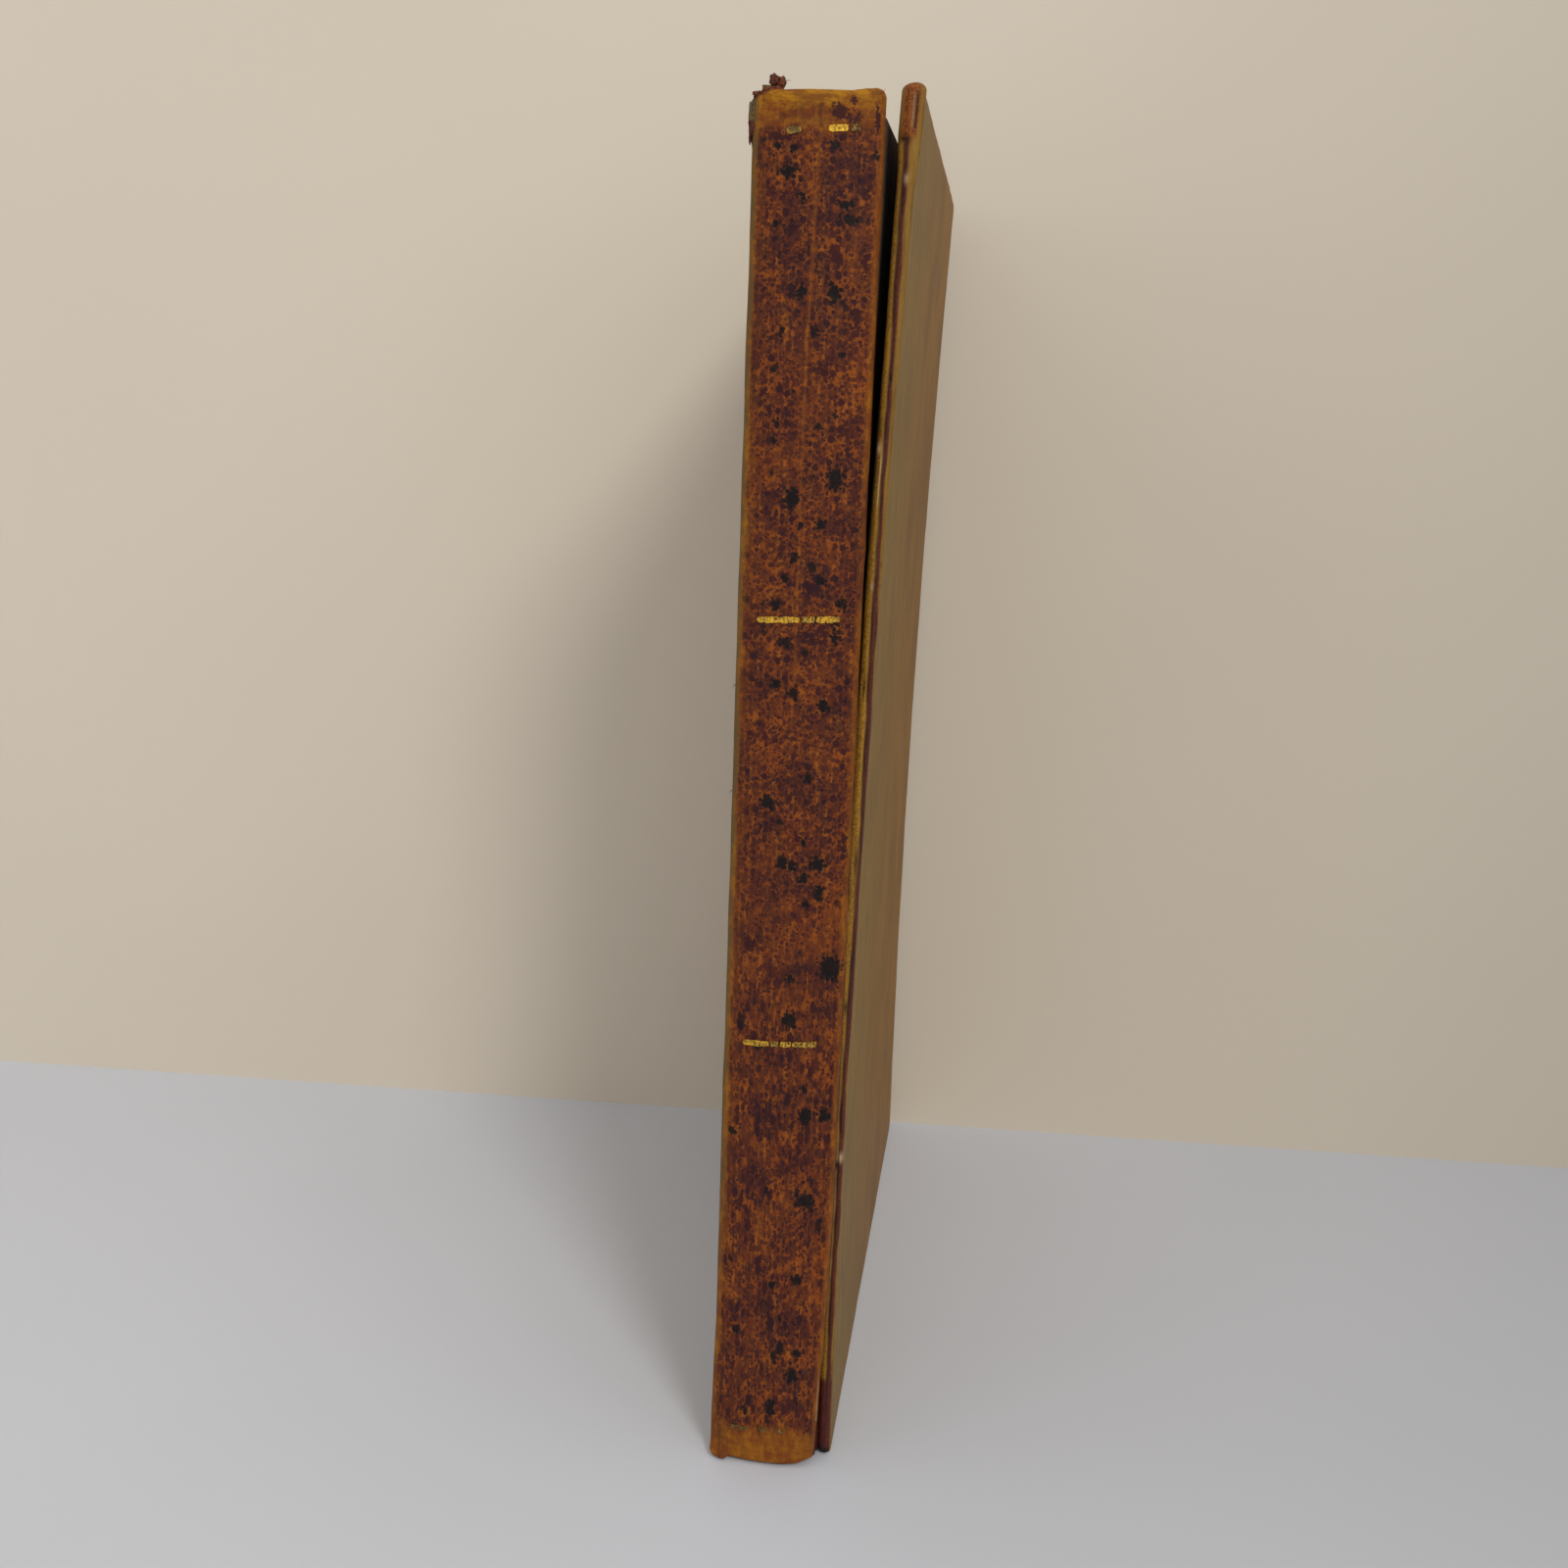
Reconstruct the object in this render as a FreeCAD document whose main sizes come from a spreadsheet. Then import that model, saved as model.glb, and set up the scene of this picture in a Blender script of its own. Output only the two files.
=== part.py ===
import FreeCAD, Part
import math
import operator
import os
import types

import Sketcher

# An old slim book in full calf, standing on its tail with the spine towards -Y.
# The front cover is at +X. Its joint has cracked at the head, so it leans out.
# X = 0 is the middle of the spine, Y = 0 the covers' spine edge, Z = 0 the tail,
# until the last step sets the origin under the middle of the whole book.

doc = FreeCAD.newDocument("antique_leather_book")

# Driving dimensions: name, value in millimetres, what it measures
driving = [
    ("cover_height", 200.0, "cover, tail to head"),
    ("cover_width", 121.5, "cover, spine edge to fore-edge"),
    ("spine_width", 17.0, "leather spine, side to side"),
    ("leather_skin", 0.6, "calf on the covers and the spine"),
    ("board_core", 1.2, "pasteboard inside a cover"),
    ("turn_in_skin", 0.3, "pared calf turned in over a board"),
    ("turn_in_width", 14.0, "calf turned in from each outer edge"),
    ("paper_sheet", 0.15, "one endpaper leaf"),
    ("leaf_spring", 2.55, "front flyleaf sprung out at the head"),
    ("paper_margin", 4.0, "turned-in calf left bare round a pastedown"),
    ("paper_joint_margin", 2.0, "pastedown's distance from the spine edge"),
    ("paste_line", 0.1, "pastedown off its board and turn-ins"),
    ("closing_gap", 0.3, "pastedown to flyleaf when closed"),
    ("joint_gap", 0.3, "covers' spine edge to the block's shoulders"),
    ("head_square", 4.5, "cover standing above the leaves"),
    ("tail_square", 3.0, "cover standing below the leaves"),
    ("fore_square", 3.5, "cover standing in front of the leaves"),
    ("fore_hollow", 0.8, "hollow of the leaves' fore-edge"),
    ("shoulder_rise", 2.2, "backed shoulder, ledge to the rounded back"),
    ("shoulder_clear", 0.2, "shoulder to the spine leather's side"),
    ("back_rounding", 0.8, "rounding of the back over its width"),
    ("lining_sheet", 0.4, "spine lining"),
    ("lining_margin", 5.0, "lining's distance from head and tail of the leaves"),
    ("spine_corner", 1.2, "rounded long edge of the spine leather"),
    ("head_cap_drop", 1.9, "head cap below the covers' head"),
    ("tail_cap_lift", 0.2, "tail cap above the covers' tail"),
    ("cap_fold", 1.1, "folded leather of a cap"),
    ("cord_size", 0.7, "sewing cord and its slips, diameter"),
    ("cord_number", 4, "sewing cords"),
    ("cord_tail_inset", 35.0, "lowest sewing cord above the covers' tail"),
    ("cord_head_inset", 36.0, "highest sewing cord below the covers' head"),
    ("kerf_clear", 0.1, "room round a cord in its sawn kerf or hole"),
    ("thread_size", 0.5, "kettle stitch thread, diameter"),
    ("kettle_inset", 10.0, "kettle stitch from an end of the leaves"),
    ("endband_core_size", 0.8, "endband core, diameter"),
    ("endband_size", 1.3, "endband over its silk, diameter"),
    ("endband_turns", 16, "ridges of silk along an endband"),
    ("endband_inset", 1.0, "endband's end from the shoulder's side"),
    ("slip_reach", 8.0, "laced slip from the spine edge to its hole"),
    ("slip_sunk", 0.06, "slip below either face of its board"),
    ("slip_neck", 0.6, "slip where it passes its hole, diameter"),
    ("slip_fan", 4.0, "frayed end of a slip, diameter"),
    ("slip_fan_sheet", 0.3, "frayed end of a slip, thickness"),
    ("gilt_number", 4, "gilt bands across the spine"),
    ("gilt_tail_inset", 6.4, "lowest gilt band above the covers' tail"),
    ("gilt_head_inset", 6.7, "highest gilt band below the covers' head"),
    ("gilt_width", 1.2, "gilt band, tail to head"),
    ("gilt_leaf", 0.1, "gilt band, thickness"),
    ("gilt_sunk", 0.02, "gilt below the leather round it"),
    ("gilt_margin", 2.5, "gilt band's end from the spine's side"),
    ("cover_corner", 2.5, "worn fore-edge corner of a cover"),
    ("cover_edge", 0.6, "rounded edge of the calf on a cover"),
    ("front_shift", 1.25, "front cover's tail moved outwards"),
    ("front_lean", 0.966, "front cover's lean outwards, degrees"),
    ("front_bow", 1.4, "front cover's middle bowed towards the leaves"),
    ("torn_width", 0.5, "torn calf along the front cover's spine edge"),
    ("torn_reach", 0.8, "torn calf standing past that edge"),
    ("torn_margin", 8.0, "torn calf's distance from head and tail"),
]

sheet = doc.addObject("Spreadsheet::Sheet", "Sizes")
for row, (alias, value, meaning) in enumerate(driving, start=1):
    sheet.set("A%d" % row, meaning)
    sheet.set("B%d" % row, str(value))
    sheet.setAlias("B%d" % row, alias)
doc.recompute()


class Size:
    """A length together with the sheet expression that gives it."""

    def __init__(self, value, text):
        self.value = value
        self.text = text

    def __add__(self, other):
        return combine(operator.add, self, "+", other)

    def __radd__(self, other):
        return combine(operator.add, other, "+", self)

    def __sub__(self, other):
        return combine(operator.sub, self, "-", other)

    def __rsub__(self, other):
        return combine(operator.sub, other, "-", self)

    def __mul__(self, other):
        return combine(operator.mul, self, "*", other)

    def __rmul__(self, other):
        return combine(operator.mul, other, "*", self)

    def __truediv__(self, other):
        return combine(operator.truediv, self, "/", other)

    def __neg__(self):
        return combine(operator.mul, -1, "*", self)


def as_size(value):
    return value if isinstance(value, Size) else Size(value, "(%s)" % value)


def combine(sum_of, first, sign, second):
    first, second = as_size(first), as_size(second)
    return Size(sum_of(first.value, second.value), "(%s %s %s)" % (first.text, sign, second.text))


def root(size):
    return Size(math.sqrt(size.value), "sqrt(%s)" % size.text)


at = types.SimpleNamespace()
for alias, value, meaning in driving:
    setattr(at, alias, Size(float(sheet.get(alias)), "Sizes." + alias))


def bind(thing, **sizes):
    """Gives each property its size and ties it to the sheet."""
    for name, size in sizes.items():
        setattr(thing, name, as_size(size).value)
        thing.setExpression(name, as_size(size).text)


def put(thing, place, turn=FreeCAD.Rotation()):
    """Places an object, each coordinate tied to the sheet."""
    place = [as_size(coordinate) for coordinate in place]
    thing.Placement = FreeCAD.Placement(FreeCAD.Vector(*[c.value for c in place]), turn)
    for axis, coordinate in zip("xyz", place):
        thing.setExpression("Placement.Base." + axis, coordinate.text)


def slab(name, low, high):
    """A box between two corners."""
    low = [as_size(coordinate) for coordinate in low]
    box = doc.addObject("Part::Box", name)
    bind(box, Length=high[0] - low[0], Width=high[1] - low[1], Height=high[2] - low[2])
    put(box, low)
    return box


along_x = FreeCAD.Rotation(FreeCAD.Vector(0, 1, 0), 90)
along_y = FreeCAD.Rotation(FreeCAD.Vector(1, 0, 0), -90)


def rod(name, start, turn, length, diameter):
    """A round rod from its start point along the turned axis."""
    cylinder = doc.addObject("Part::Cylinder", name)
    bind(cylinder, Radius=diameter / 2, Height=length)
    put(cylinder, start, turn)
    return cylinder


def joined(name, pieces):
    union = doc.addObject("Part::MultiFuse", name)
    union.Shapes = pieces
    return union


def cut(name, solid, tool):
    difference = doc.addObject("Part::Cut", name)
    difference.Base = solid
    difference.Tool = tool
    return difference


def origin_part(body, role):
    return [feature for feature in body.Origin.OriginFeatures if feature.Role == role][0]


def point(corner):
    return FreeCAD.Vector(as_size(corner[0]).value, as_size(corner[1]).value, 0)


def hold(sketch, geometry, end, corner):
    """Holds one end of a sketch line at a corner that the sheet gives."""
    for kind, size in zip(("DistanceX", "DistanceY"), corner):
        size = as_size(size)
        number = sketch.addConstraint(Sketcher.Constraint(kind, -1, 1, geometry, end, size.value))
        sketch.setExpression("Constraints[%d]" % number, size.text)


def outline(body, name, corners, arcs=None, level=0, role="XY_Plane"):
    """A closed outline. arcs gives, for a side's number, the point that its arc passes."""
    arcs = arcs or {}
    sketch = body.newObject("Sketcher::SketchObject", name)
    sketch.AttachmentSupport = [(origin_part(body, role), "")]
    sketch.MapMode = "FlatFace"
    sketch.AttachmentOffset = FreeCAD.Placement(FreeCAD.Vector(0, 0, as_size(level).value), FreeCAD.Rotation())
    sketch.setExpression("AttachmentOffset.Base.z", as_size(level).text)
    ends = []
    for side, corner in enumerate(corners):
        start, stop = point(corner), point(corners[(side + 1) % len(corners)])
        curve = Part.Arc(start, point(arcs[side]), stop) if side in arcs else Part.LineSegment(start, stop)
        sketch.addGeometry(curve, False)
        forwards = sketch.getPoint(side, 1).distanceToPoint(start) < sketch.getPoint(side, 2).distanceToPoint(start)
        ends.append((1, 2) if forwards else (2, 1))
    for side, corner in enumerate(corners):
        hold(sketch, side, ends[side][0], corner)
        following = (side + 1) % len(corners)
        sketch.addConstraint(Sketcher.Constraint("Coincident", side, ends[side][1], following, ends[following][0]))
    for side, middle in arcs.items():
        number = sketch.addGeometry(Part.Point(point(middle)), True)
        hold(sketch, number, 1, middle)
        sketch.addConstraint(Sketcher.Constraint("PointOnObject", number, 1, side))
    return sketch


def pad(body, name, sketch, length):
    feature = body.newObject("PartDesign::Pad", name)
    feature.Profile = sketch
    bind(feature, Length=length)
    return feature


finished = {"book_block": [], "front_cover": [], "back_cover": []}


def keep(body, name, thing):
    """Names a finished sub-part and the moving body that it belongs to."""
    thing.Label = name
    finished[body].append(thing)
    return thing


# Places that several sub-parts share
spine_side = at.spine_width / 2
cover_pack = at.leather_skin + at.board_core + at.turn_in_skin
block_side = spine_side - cover_pack - 2 * at.paper_sheet - at.closing_gap
block_tail = at.tail_square
block_head = at.cover_height - at.head_square
block_fore = at.cover_width - at.fore_square
inner_side = spine_side - at.leather_skin
shoulder_side = inner_side - at.shoulder_clear
shoulder_back = -(at.joint_gap + at.shoulder_rise)
lining_back = shoulder_back - at.lining_sheet
spine_back = lining_back - at.leather_skin
cord_depth = shoulder_back + at.cord_size / 2


def spread(number, tail_inset, head_inset):
    """Evenly spaced levels between an inset from the tail and one from the head."""
    pitch = (at.cover_height - tail_inset - head_inset) / (number - 1)
    return [tail_inset + step * pitch for step in range(number)]


cord_levels = spread(int(at.cord_number.value), at.cord_tail_inset, at.cord_head_inset)
kettle_levels = {"tail": block_tail + at.kettle_inset, "head": block_head - at.kettle_inset}


# Text block: folded and sewn leaves, backed to a shoulder on each side
leaves = doc.addObject("PartDesign::Body", "text_block")
bevel = at.joint_gap
plan = outline(
    leaves, "leaves_plan",
    [
        (block_side, block_fore),
        (block_side, as_size(0)),
        (block_side + bevel, -at.joint_gap),
        (shoulder_side, -at.joint_gap),
        (shoulder_side, shoulder_back),
        (-shoulder_side, shoulder_back),
        (-shoulder_side, -at.joint_gap),
        (-(block_side + bevel), -at.joint_gap),
        (-block_side, as_size(0)),
        (-block_side, block_fore),
    ],
    {4: (as_size(0), shoulder_back - at.back_rounding), 9: (as_size(0), block_fore - at.fore_hollow)},
    block_tail,
)
pad(leaves, "leaves_pad", plan, block_head - block_tail)


def kerf(name, level, diameter, depth):
    """A kerf sawn across the back: room for a cord or thread to lie in."""
    sketch = outline(
        leaves, name + "_outline",
        [
            (shoulder_back - 2 * at.back_rounding, level - diameter / 2 - at.kerf_clear),
            (depth + at.kerf_clear, level - diameter / 2 - at.kerf_clear),
            (depth + at.kerf_clear, level + diameter / 2 + at.kerf_clear),
            (shoulder_back - 2 * at.back_rounding, level + diameter / 2 + at.kerf_clear),
        ],
        role="YZ_Plane",
    )
    pocket = leaves.newObject("PartDesign::Pocket", name)
    pocket.Profile = sketch
    pocket.Midplane = True
    bind(pocket, Length=2 * at.spine_width)
    return pocket


cord_kerf = kerf("cord_kerf", cord_levels[0], at.cord_size, cord_depth + at.cord_size / 2)
cord_kerfs = leaves.newObject("PartDesign::LinearPattern", "cord_kerfs")
cord_kerfs.Originals = [cord_kerf]
cord_kerfs.Direction = (origin_part(leaves, "Z_Axis"), [""])
cord_kerfs.Occurrences = len(cord_levels)
bind(cord_kerfs, Length=cord_levels[-1] - cord_levels[0])
leaves.Tip = cord_kerfs
for end, level in kettle_levels.items():
    kettle_kerf = kerf("kettle_kerf_" + end, level, at.thread_size, shoulder_back + at.thread_size)
leaves.Tip = kettle_kerf
keep("book_block", "text_block", leaves)


# Flyleaves: the back one flat against the leaves, the front one sprung out at the head
back_leaf = slab(
    "back_leaf",
    (-(block_side + at.paper_sheet), at.joint_gap, block_tail),
    (-block_side, block_fore, block_head),
)
keep("book_block", "back_flyleaf", back_leaf)
front_leaf = doc.addObject("PartDesign::Body", "front_leaf")
leaf_end = outline(
    front_leaf, "leaf_end",
    [
        (block_side, block_tail),
        (block_side + at.paper_sheet, block_tail),
        (block_side + at.paper_sheet + at.leaf_spring, block_head),
        (block_side + at.leaf_spring, block_head),
    ],
    level=-block_fore, role="XZ_Plane",
)
pad(front_leaf, "leaf_pad", leaf_end, block_fore - at.joint_gap)
keep("book_block", "front_flyleaf", front_leaf)


# Sewing cords, and the kettle stitches that tie the sections near head and tail
for number, level in enumerate(cord_levels, start=1):
    cord = rod("cord_%d" % number, (-shoulder_side, cord_depth, level), along_x, 2 * shoulder_side, at.cord_size)
    keep("book_block", "sewing_cord_%d" % number, cord)
for end, level in kettle_levels.items():
    depth = shoulder_back + at.thread_size / 2
    stitch = rod("kettle_" + end, (-shoulder_side, depth, level), along_x, 2 * shoulder_side, at.thread_size)
    keep("book_block", "kettle_stitch_" + end, stitch)


# Spine lining: a strip glued over the rounded back
lining = doc.addObject("PartDesign::Body", "spine_lining")
lining_plan = outline(
    lining, "lining_plan",
    [
        (shoulder_side, shoulder_back),
        (shoulder_side, lining_back),
        (-shoulder_side, lining_back),
        (-shoulder_side, shoulder_back),
    ],
    {1: (as_size(0), lining_back - at.back_rounding), 3: (as_size(0), shoulder_back - at.back_rounding)},
    block_tail + at.lining_margin,
)
pad(lining, "lining_pad", lining_plan, block_head - block_tail - 2 * at.lining_margin)
keep("book_block", "spine_lining", lining)


# Endbands: a round core on each end of the leaves, wound with silk
endband_side = shoulder_side - at.endband_inset
endband_depth = shoulder_back + at.endband_size / 4
for end, level in (("tail", block_tail - at.endband_size / 2), ("head", block_head + at.endband_size / 2)):
    start = (-endband_side, endband_depth, level)
    core = rod("endband_core_" + end, start, along_x, 2 * endband_side, at.endband_core_size)
    keep("book_block", end + "_endband_core", core)
    silk = doc.addObject("PartDesign::Body", "endband_silk_" + end)
    turns = int(at.endband_turns.value)
    ridge_pitch = 2 * endband_side / turns
    groove_radius = (at.endband_core_size + at.endband_size) / 4
    corners = [(-endband_side, at.endband_core_size / 2), (-endband_side, groove_radius)]
    for turn in range(turns):
        corners.append(((turn + 0.5) * ridge_pitch - endband_side, at.endband_size / 2))
        corners.append(((turn + 1) * ridge_pitch - endband_side, groove_radius))
    corners.append((endband_side, at.endband_core_size / 2))
    ridges = outline(silk, "ridges_" + end, corners)
    winding = silk.newObject("PartDesign::Revolution", "winding_" + end)
    winding.Profile = ridges
    winding.ReferenceAxis = (origin_part(silk, "X_Axis"), [""])
    winding.Angle = 360
    silk.Tip = winding
    put(silk, (as_size(0), endband_depth, level))
    keep("book_block", end + "_endband", silk)


# Spine leather: tight on the lining, round both shoulders, folded to a cap at head and tail
calf = doc.addObject("PartDesign::Body", "spine_calf")
corner_reach = at.spine_corner * (1 - math.sqrt(0.5))
spine_tail = at.tail_cap_lift
spine_head = at.cover_height - at.head_cap_drop
flat_side = spine_side - at.spine_corner


def spine_outside(last):
    """Corners and arcs of the spine's outer side, from +X to -X, ending at the depth last."""
    corners = [
        (spine_side, last),
        (spine_side, spine_back + at.spine_corner),
        (flat_side, spine_back),
        (-flat_side, spine_back),
        (-spine_side, spine_back + at.spine_corner),
        (-spine_side, last),
    ]
    arcs = {
        1: (spine_side - corner_reach, spine_back + corner_reach),
        2: (as_size(0), spine_back - at.back_rounding),
        3: (-(spine_side - corner_reach), spine_back + corner_reach),
    }
    return corners, arcs


corners, arcs = spine_outside(-at.joint_gap)
corners = corners + [
    (-inner_side, -at.joint_gap),
    (-inner_side, lining_back),
    (inner_side, lining_back),
    (inner_side, -at.joint_gap),
]
arcs[7] = (as_size(0), lining_back - at.back_rounding)
pad(calf, "calf_pad", outline(calf, "calf_plan", corners, arcs, spine_tail), spine_head - spine_tail)
for end, level in (("tail", spine_tail), ("head", spine_head - at.cap_fold)):
    corners, arcs = spine_outside(-at.joint_gap)
    pad(calf, end + "_cap_pad", outline(calf, end + "_cap_plan", corners, arcs, level), at.cap_fold)

# Gilt bands: leaf tooled into a shallow groove across the spine, following its rounding
rounding_radius = (flat_side * flat_side + at.back_rounding * at.back_rounding) / (2 * at.back_rounding)
rounding_centre = spine_back - at.back_rounding + rounding_radius
gilt_side = spine_side - at.gilt_margin


def band_solid(name, level, outer, inner):
    """A curved strip across the spine between two depths below its face."""
    def depth_at_side(below):
        radius = rounding_radius - below
        return rounding_centre - root(radius * radius - gilt_side * gilt_side)

    def depth_at_middle(below):
        return rounding_centre - rounding_radius + below

    band = doc.addObject("PartDesign::Body", name)
    plan = outline(
        band, name + "_plan",
        [
            (gilt_side, depth_at_side(inner)),
            (gilt_side, depth_at_side(outer)),
            (-gilt_side, depth_at_side(outer)),
            (-gilt_side, depth_at_side(inner)),
        ],
        {1: (as_size(0), depth_at_middle(outer)), 3: (as_size(0), depth_at_middle(inner))},
        level - at.gilt_width / 2,
    )
    pad(band, name + "_pad", plan, at.gilt_width)
    return band


grooves = []
groove_depth = at.gilt_sunk + at.gilt_leaf
gilt_levels = spread(int(at.gilt_number.value), at.gilt_tail_inset, at.gilt_head_inset)
for number, level in enumerate(gilt_levels, start=1):
    grooves.append(band_solid("gilt_groove_%d" % number, level, -at.gilt_leaf, groove_depth))
    strip = band_solid("gilt_strip_%d" % number, level, at.gilt_sunk, groove_depth)
    keep("book_block", "gilt_band_%d" % number, strip)
keep("book_block", "spine_leather", cut("grooved_calf", calf, joined("gilt_grooves", grooves)))


# Covers: a pasteboard with slips laced in, calf outside and turned in, and a pastedown
half_height = at.cover_height / 2
bow_radius = (half_height * half_height + at.front_bow * at.front_bow) / (2 * at.front_bow)


def cover(name, side):
    """Builds one cover closed against the block. side is 1 for the front, -1 for the back."""
    def across(depth, level):
        """X at a depth below the cover's outer face. The front cover bows in at mid-height."""
        if side < 0:
            return depth - spine_side
        radius = bow_radius + depth
        rise = level - half_height
        return spine_side - at.front_bow + bow_radius - root(radius * radius - rise * rise)

    def layer(part, outer, inner, first, last):
        """Part of the cover's thickness, from (Y, Z) first to (Y, Z) last."""
        low, high = as_size(first[1]), as_size(last[1])
        middle = (low + high) / 2
        body = doc.addObject("PartDesign::Body", name + "_" + part)
        corners = [
            (across(outer, low), low),
            (across(outer, high), high),
            (across(inner, high), high),
            (across(inner, low), low),
        ]
        arcs = {0: (across(outer, middle), middle), 2: (across(inner, middle), middle)} if side > 0 else None
        end = outline(body, "%s_%s_end" % (name, part), corners, arcs, -as_size(last[0]), "XZ_Plane")
        pad(body, "%s_%s_pad" % (name, part), end, last[0] - first[0])
        return body

    def rounded(part, body, corner, edge=None):
        """Rounds a layer's two fore-edge corners and, if asked, softens its outer edges."""
        doc.recompute()
        fore_edge = body.Shape.optimalBoundingBox(False).YMax
        spine_edge = body.Shape.optimalBoundingBox(False).YMin

        def round_off(label, radius, chosen):
            solid = body.Tip
            edges = ["Edge%d" % (i + 1) for i, line in enumerate(solid.Shape.Edges) if chosen(line)]
            fillet = body.newObject("PartDesign::Fillet", "%s_%s_%s" % (name, part, label))
            fillet.Base = (solid, edges)
            bind(fillet, Radius=radius)
            body.Tip = fillet
            doc.recompute()

        def at_corner(line):
            ends = [vertex.Point for vertex in line.Vertexes]
            level = abs(ends[0].z - ends[-1].z) < 0.001
            return level and min(end.y for end in ends) > fore_edge - 0.001

        def on_outer_face(line):
            ends = [vertex.Point for vertex in line.Vertexes]
            on_face = [abs(end.x - across(as_size(0), end.z).value) < 0.001 for end in ends]
            return all(on_face) and max(end.y for end in ends) > spine_edge + 0.001

        round_off("corners", corner, at_corner)
        if edge is not None:
            round_off("edges", edge, on_outer_face)
        return body

    body = name + "_cover"
    nowhere = as_size(0)
    board_face = at.leather_skin
    board_inside = at.leather_skin + at.board_core
    window = at.turn_in_width
    beyond = at.leather_skin

    # The board, square at its spine edge, inside its calf on the other three
    def board_blank(part):
        blank = layer(
            part, board_face, board_inside,
            (nowhere, at.leather_skin),
            (at.cover_width - at.leather_skin, at.cover_height - at.leather_skin),
        )
        return rounded(part, blank, at.cover_corner - at.leather_skin)

    def slip(part, level, room):
        """A cord slip: along a channel outside, through its hole, and frayed flat inside."""
        axis = across(board_face + at.slip_sunk + at.cord_size / 2, level)
        fan_face = across(board_inside - at.slip_sunk + 2 * room, level)
        fan_back = across(board_inside - at.slip_sunk - at.slip_fan_sheet - room, level)
        channel = rod(
            part + "_channel", (axis, 0 - room, level), along_y,
            at.slip_reach + at.cord_size / 2 + 2 * room, at.cord_size + 2 * room,
        )
        stem_start, stem_end = (fan_face, axis) if side > 0 else (axis, fan_face)
        stem = rod(
            part + "_stem", (stem_start, at.slip_reach, level), along_x,
            stem_end - stem_start, at.slip_neck + 2 * room,
        )
        fan_start, fan_end = (fan_face, fan_back) if side > 0 else (fan_back, fan_face)
        fan = rod(
            part + "_fan", (fan_start, at.slip_reach, level), along_x,
            fan_end - fan_start, at.slip_fan + 2 * room,
        )
        return joined(part, [channel, stem, fan])

    rooms = []
    for number, level in enumerate(cord_levels, start=1):
        part = slip("%s_lacing_%d" % (name, number), level, nowhere)
        keep(body, "%s_slip_%d" % (name, number), part)
        rooms.append(slip("%s_lacing_room_%d" % (name, number), level, at.kerf_clear))
    keep(body, name + "_board", cut(name + "_laced_board", board_blank("board_blank"), joined(name + "_rooms", rooms)))

    # The calf: outer face, three edges, and turn-ins round an open window inside
    skin = layer("skin", nowhere, cover_pack, (nowhere, nowhere), (at.cover_width, at.cover_height))
    rounded("skin", skin, at.cover_corner, at.cover_edge)
    hollow = board_blank("board_hollow")
    open_window = layer(
        "window", board_inside, cover_pack + at.turn_in_skin,
        (-at.joint_gap, window), (at.cover_width - window, at.cover_height - window),
    )
    calf_cover = cut(name + "_calf", skin, joined(name + "_calf_inside", [hollow, open_window]))
    if side > 0:
        torn = layer(
            "torn_edge", nowhere, at.torn_width,
            (-at.torn_reach, at.torn_margin), (at.leather_skin, at.cover_height - at.torn_margin),
        )
        calf_cover = joined(name + "_torn_calf", [calf_cover, torn])
    keep(body, name + "_leather", calf_cover)

    # The pastedown: flat on the board, stepping up over the turn-ins
    paper_back = board_inside + at.paste_line
    paper_raised = cover_pack + at.paste_line
    paper = layer(
        "paper", paper_back, paper_raised + at.paper_sheet,
        (at.paper_joint_margin, at.paper_margin),
        (at.cover_width - at.paper_margin, at.cover_height - at.paper_margin),
    )
    over_turn_ins = layer(
        "turn_in_zone", board_inside, paper_raised,
        (-beyond, -beyond), (at.cover_width + beyond, at.cover_height + beyond),
    )
    clear_window = layer(
        "turn_in_window", board_inside, paper_raised,
        (-beyond, window), (at.cover_width - window, at.cover_height - window),
    )
    sunk = layer(
        "paper_sunk", paper_back + at.paper_sheet, paper_raised + 2 * at.paper_sheet,
        (-beyond, window + at.paper_sheet),
        (at.cover_width - window - at.paper_sheet, at.cover_height - window - at.paper_sheet),
    )
    turn_ins = cut(name + "_turn_ins", over_turn_ins, clear_window)
    pastedown = cut(name + "_paste", paper, joined(name + "_paper_inside", [turn_ins, sunk]))
    keep(body, name + "_pastedown", pastedown)


cover("front", 1)
cover("back", -1)
doc.recompute()

# The front cover stands out from its joint and leans, turning on its outer tail edge
pivot = FreeCAD.Vector(spine_side.value, 0, 0)
lean = FreeCAD.Placement(FreeCAD.Vector(), FreeCAD.Rotation(FreeCAD.Vector(0, 1, 0), at.front_lean.value), pivot)
shift = FreeCAD.Placement(FreeCAD.Vector(at.front_shift.value, 0, 0), FreeCAD.Rotation())
for thing in finished["front_cover"]:
    thing.Placement = shift.multiply(lean).multiply(thing.Placement)
doc.recompute()

# The origin goes on the ground under the middle of the whole book
whole = FreeCAD.BoundBox()
for things in finished.values():
    for thing in things:
        whole.add(thing.Shape.optimalBoundingBox(False))
middle = FreeCAD.Vector(-whole.Center.x, -whole.Center.y, 0)
to_origin = FreeCAD.Placement(middle, FreeCAD.Rotation())
for things in finished.values():
    for thing in things:
        for axis in "xyz":
            thing.setExpression("Placement.Base." + axis, None)
        thing.Placement = to_origin.multiply(thing.Placement)
doc.recompute()

print("origin from spine centre and joint line: %.3f %.3f" % (-middle.x, -middle.y))

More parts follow.
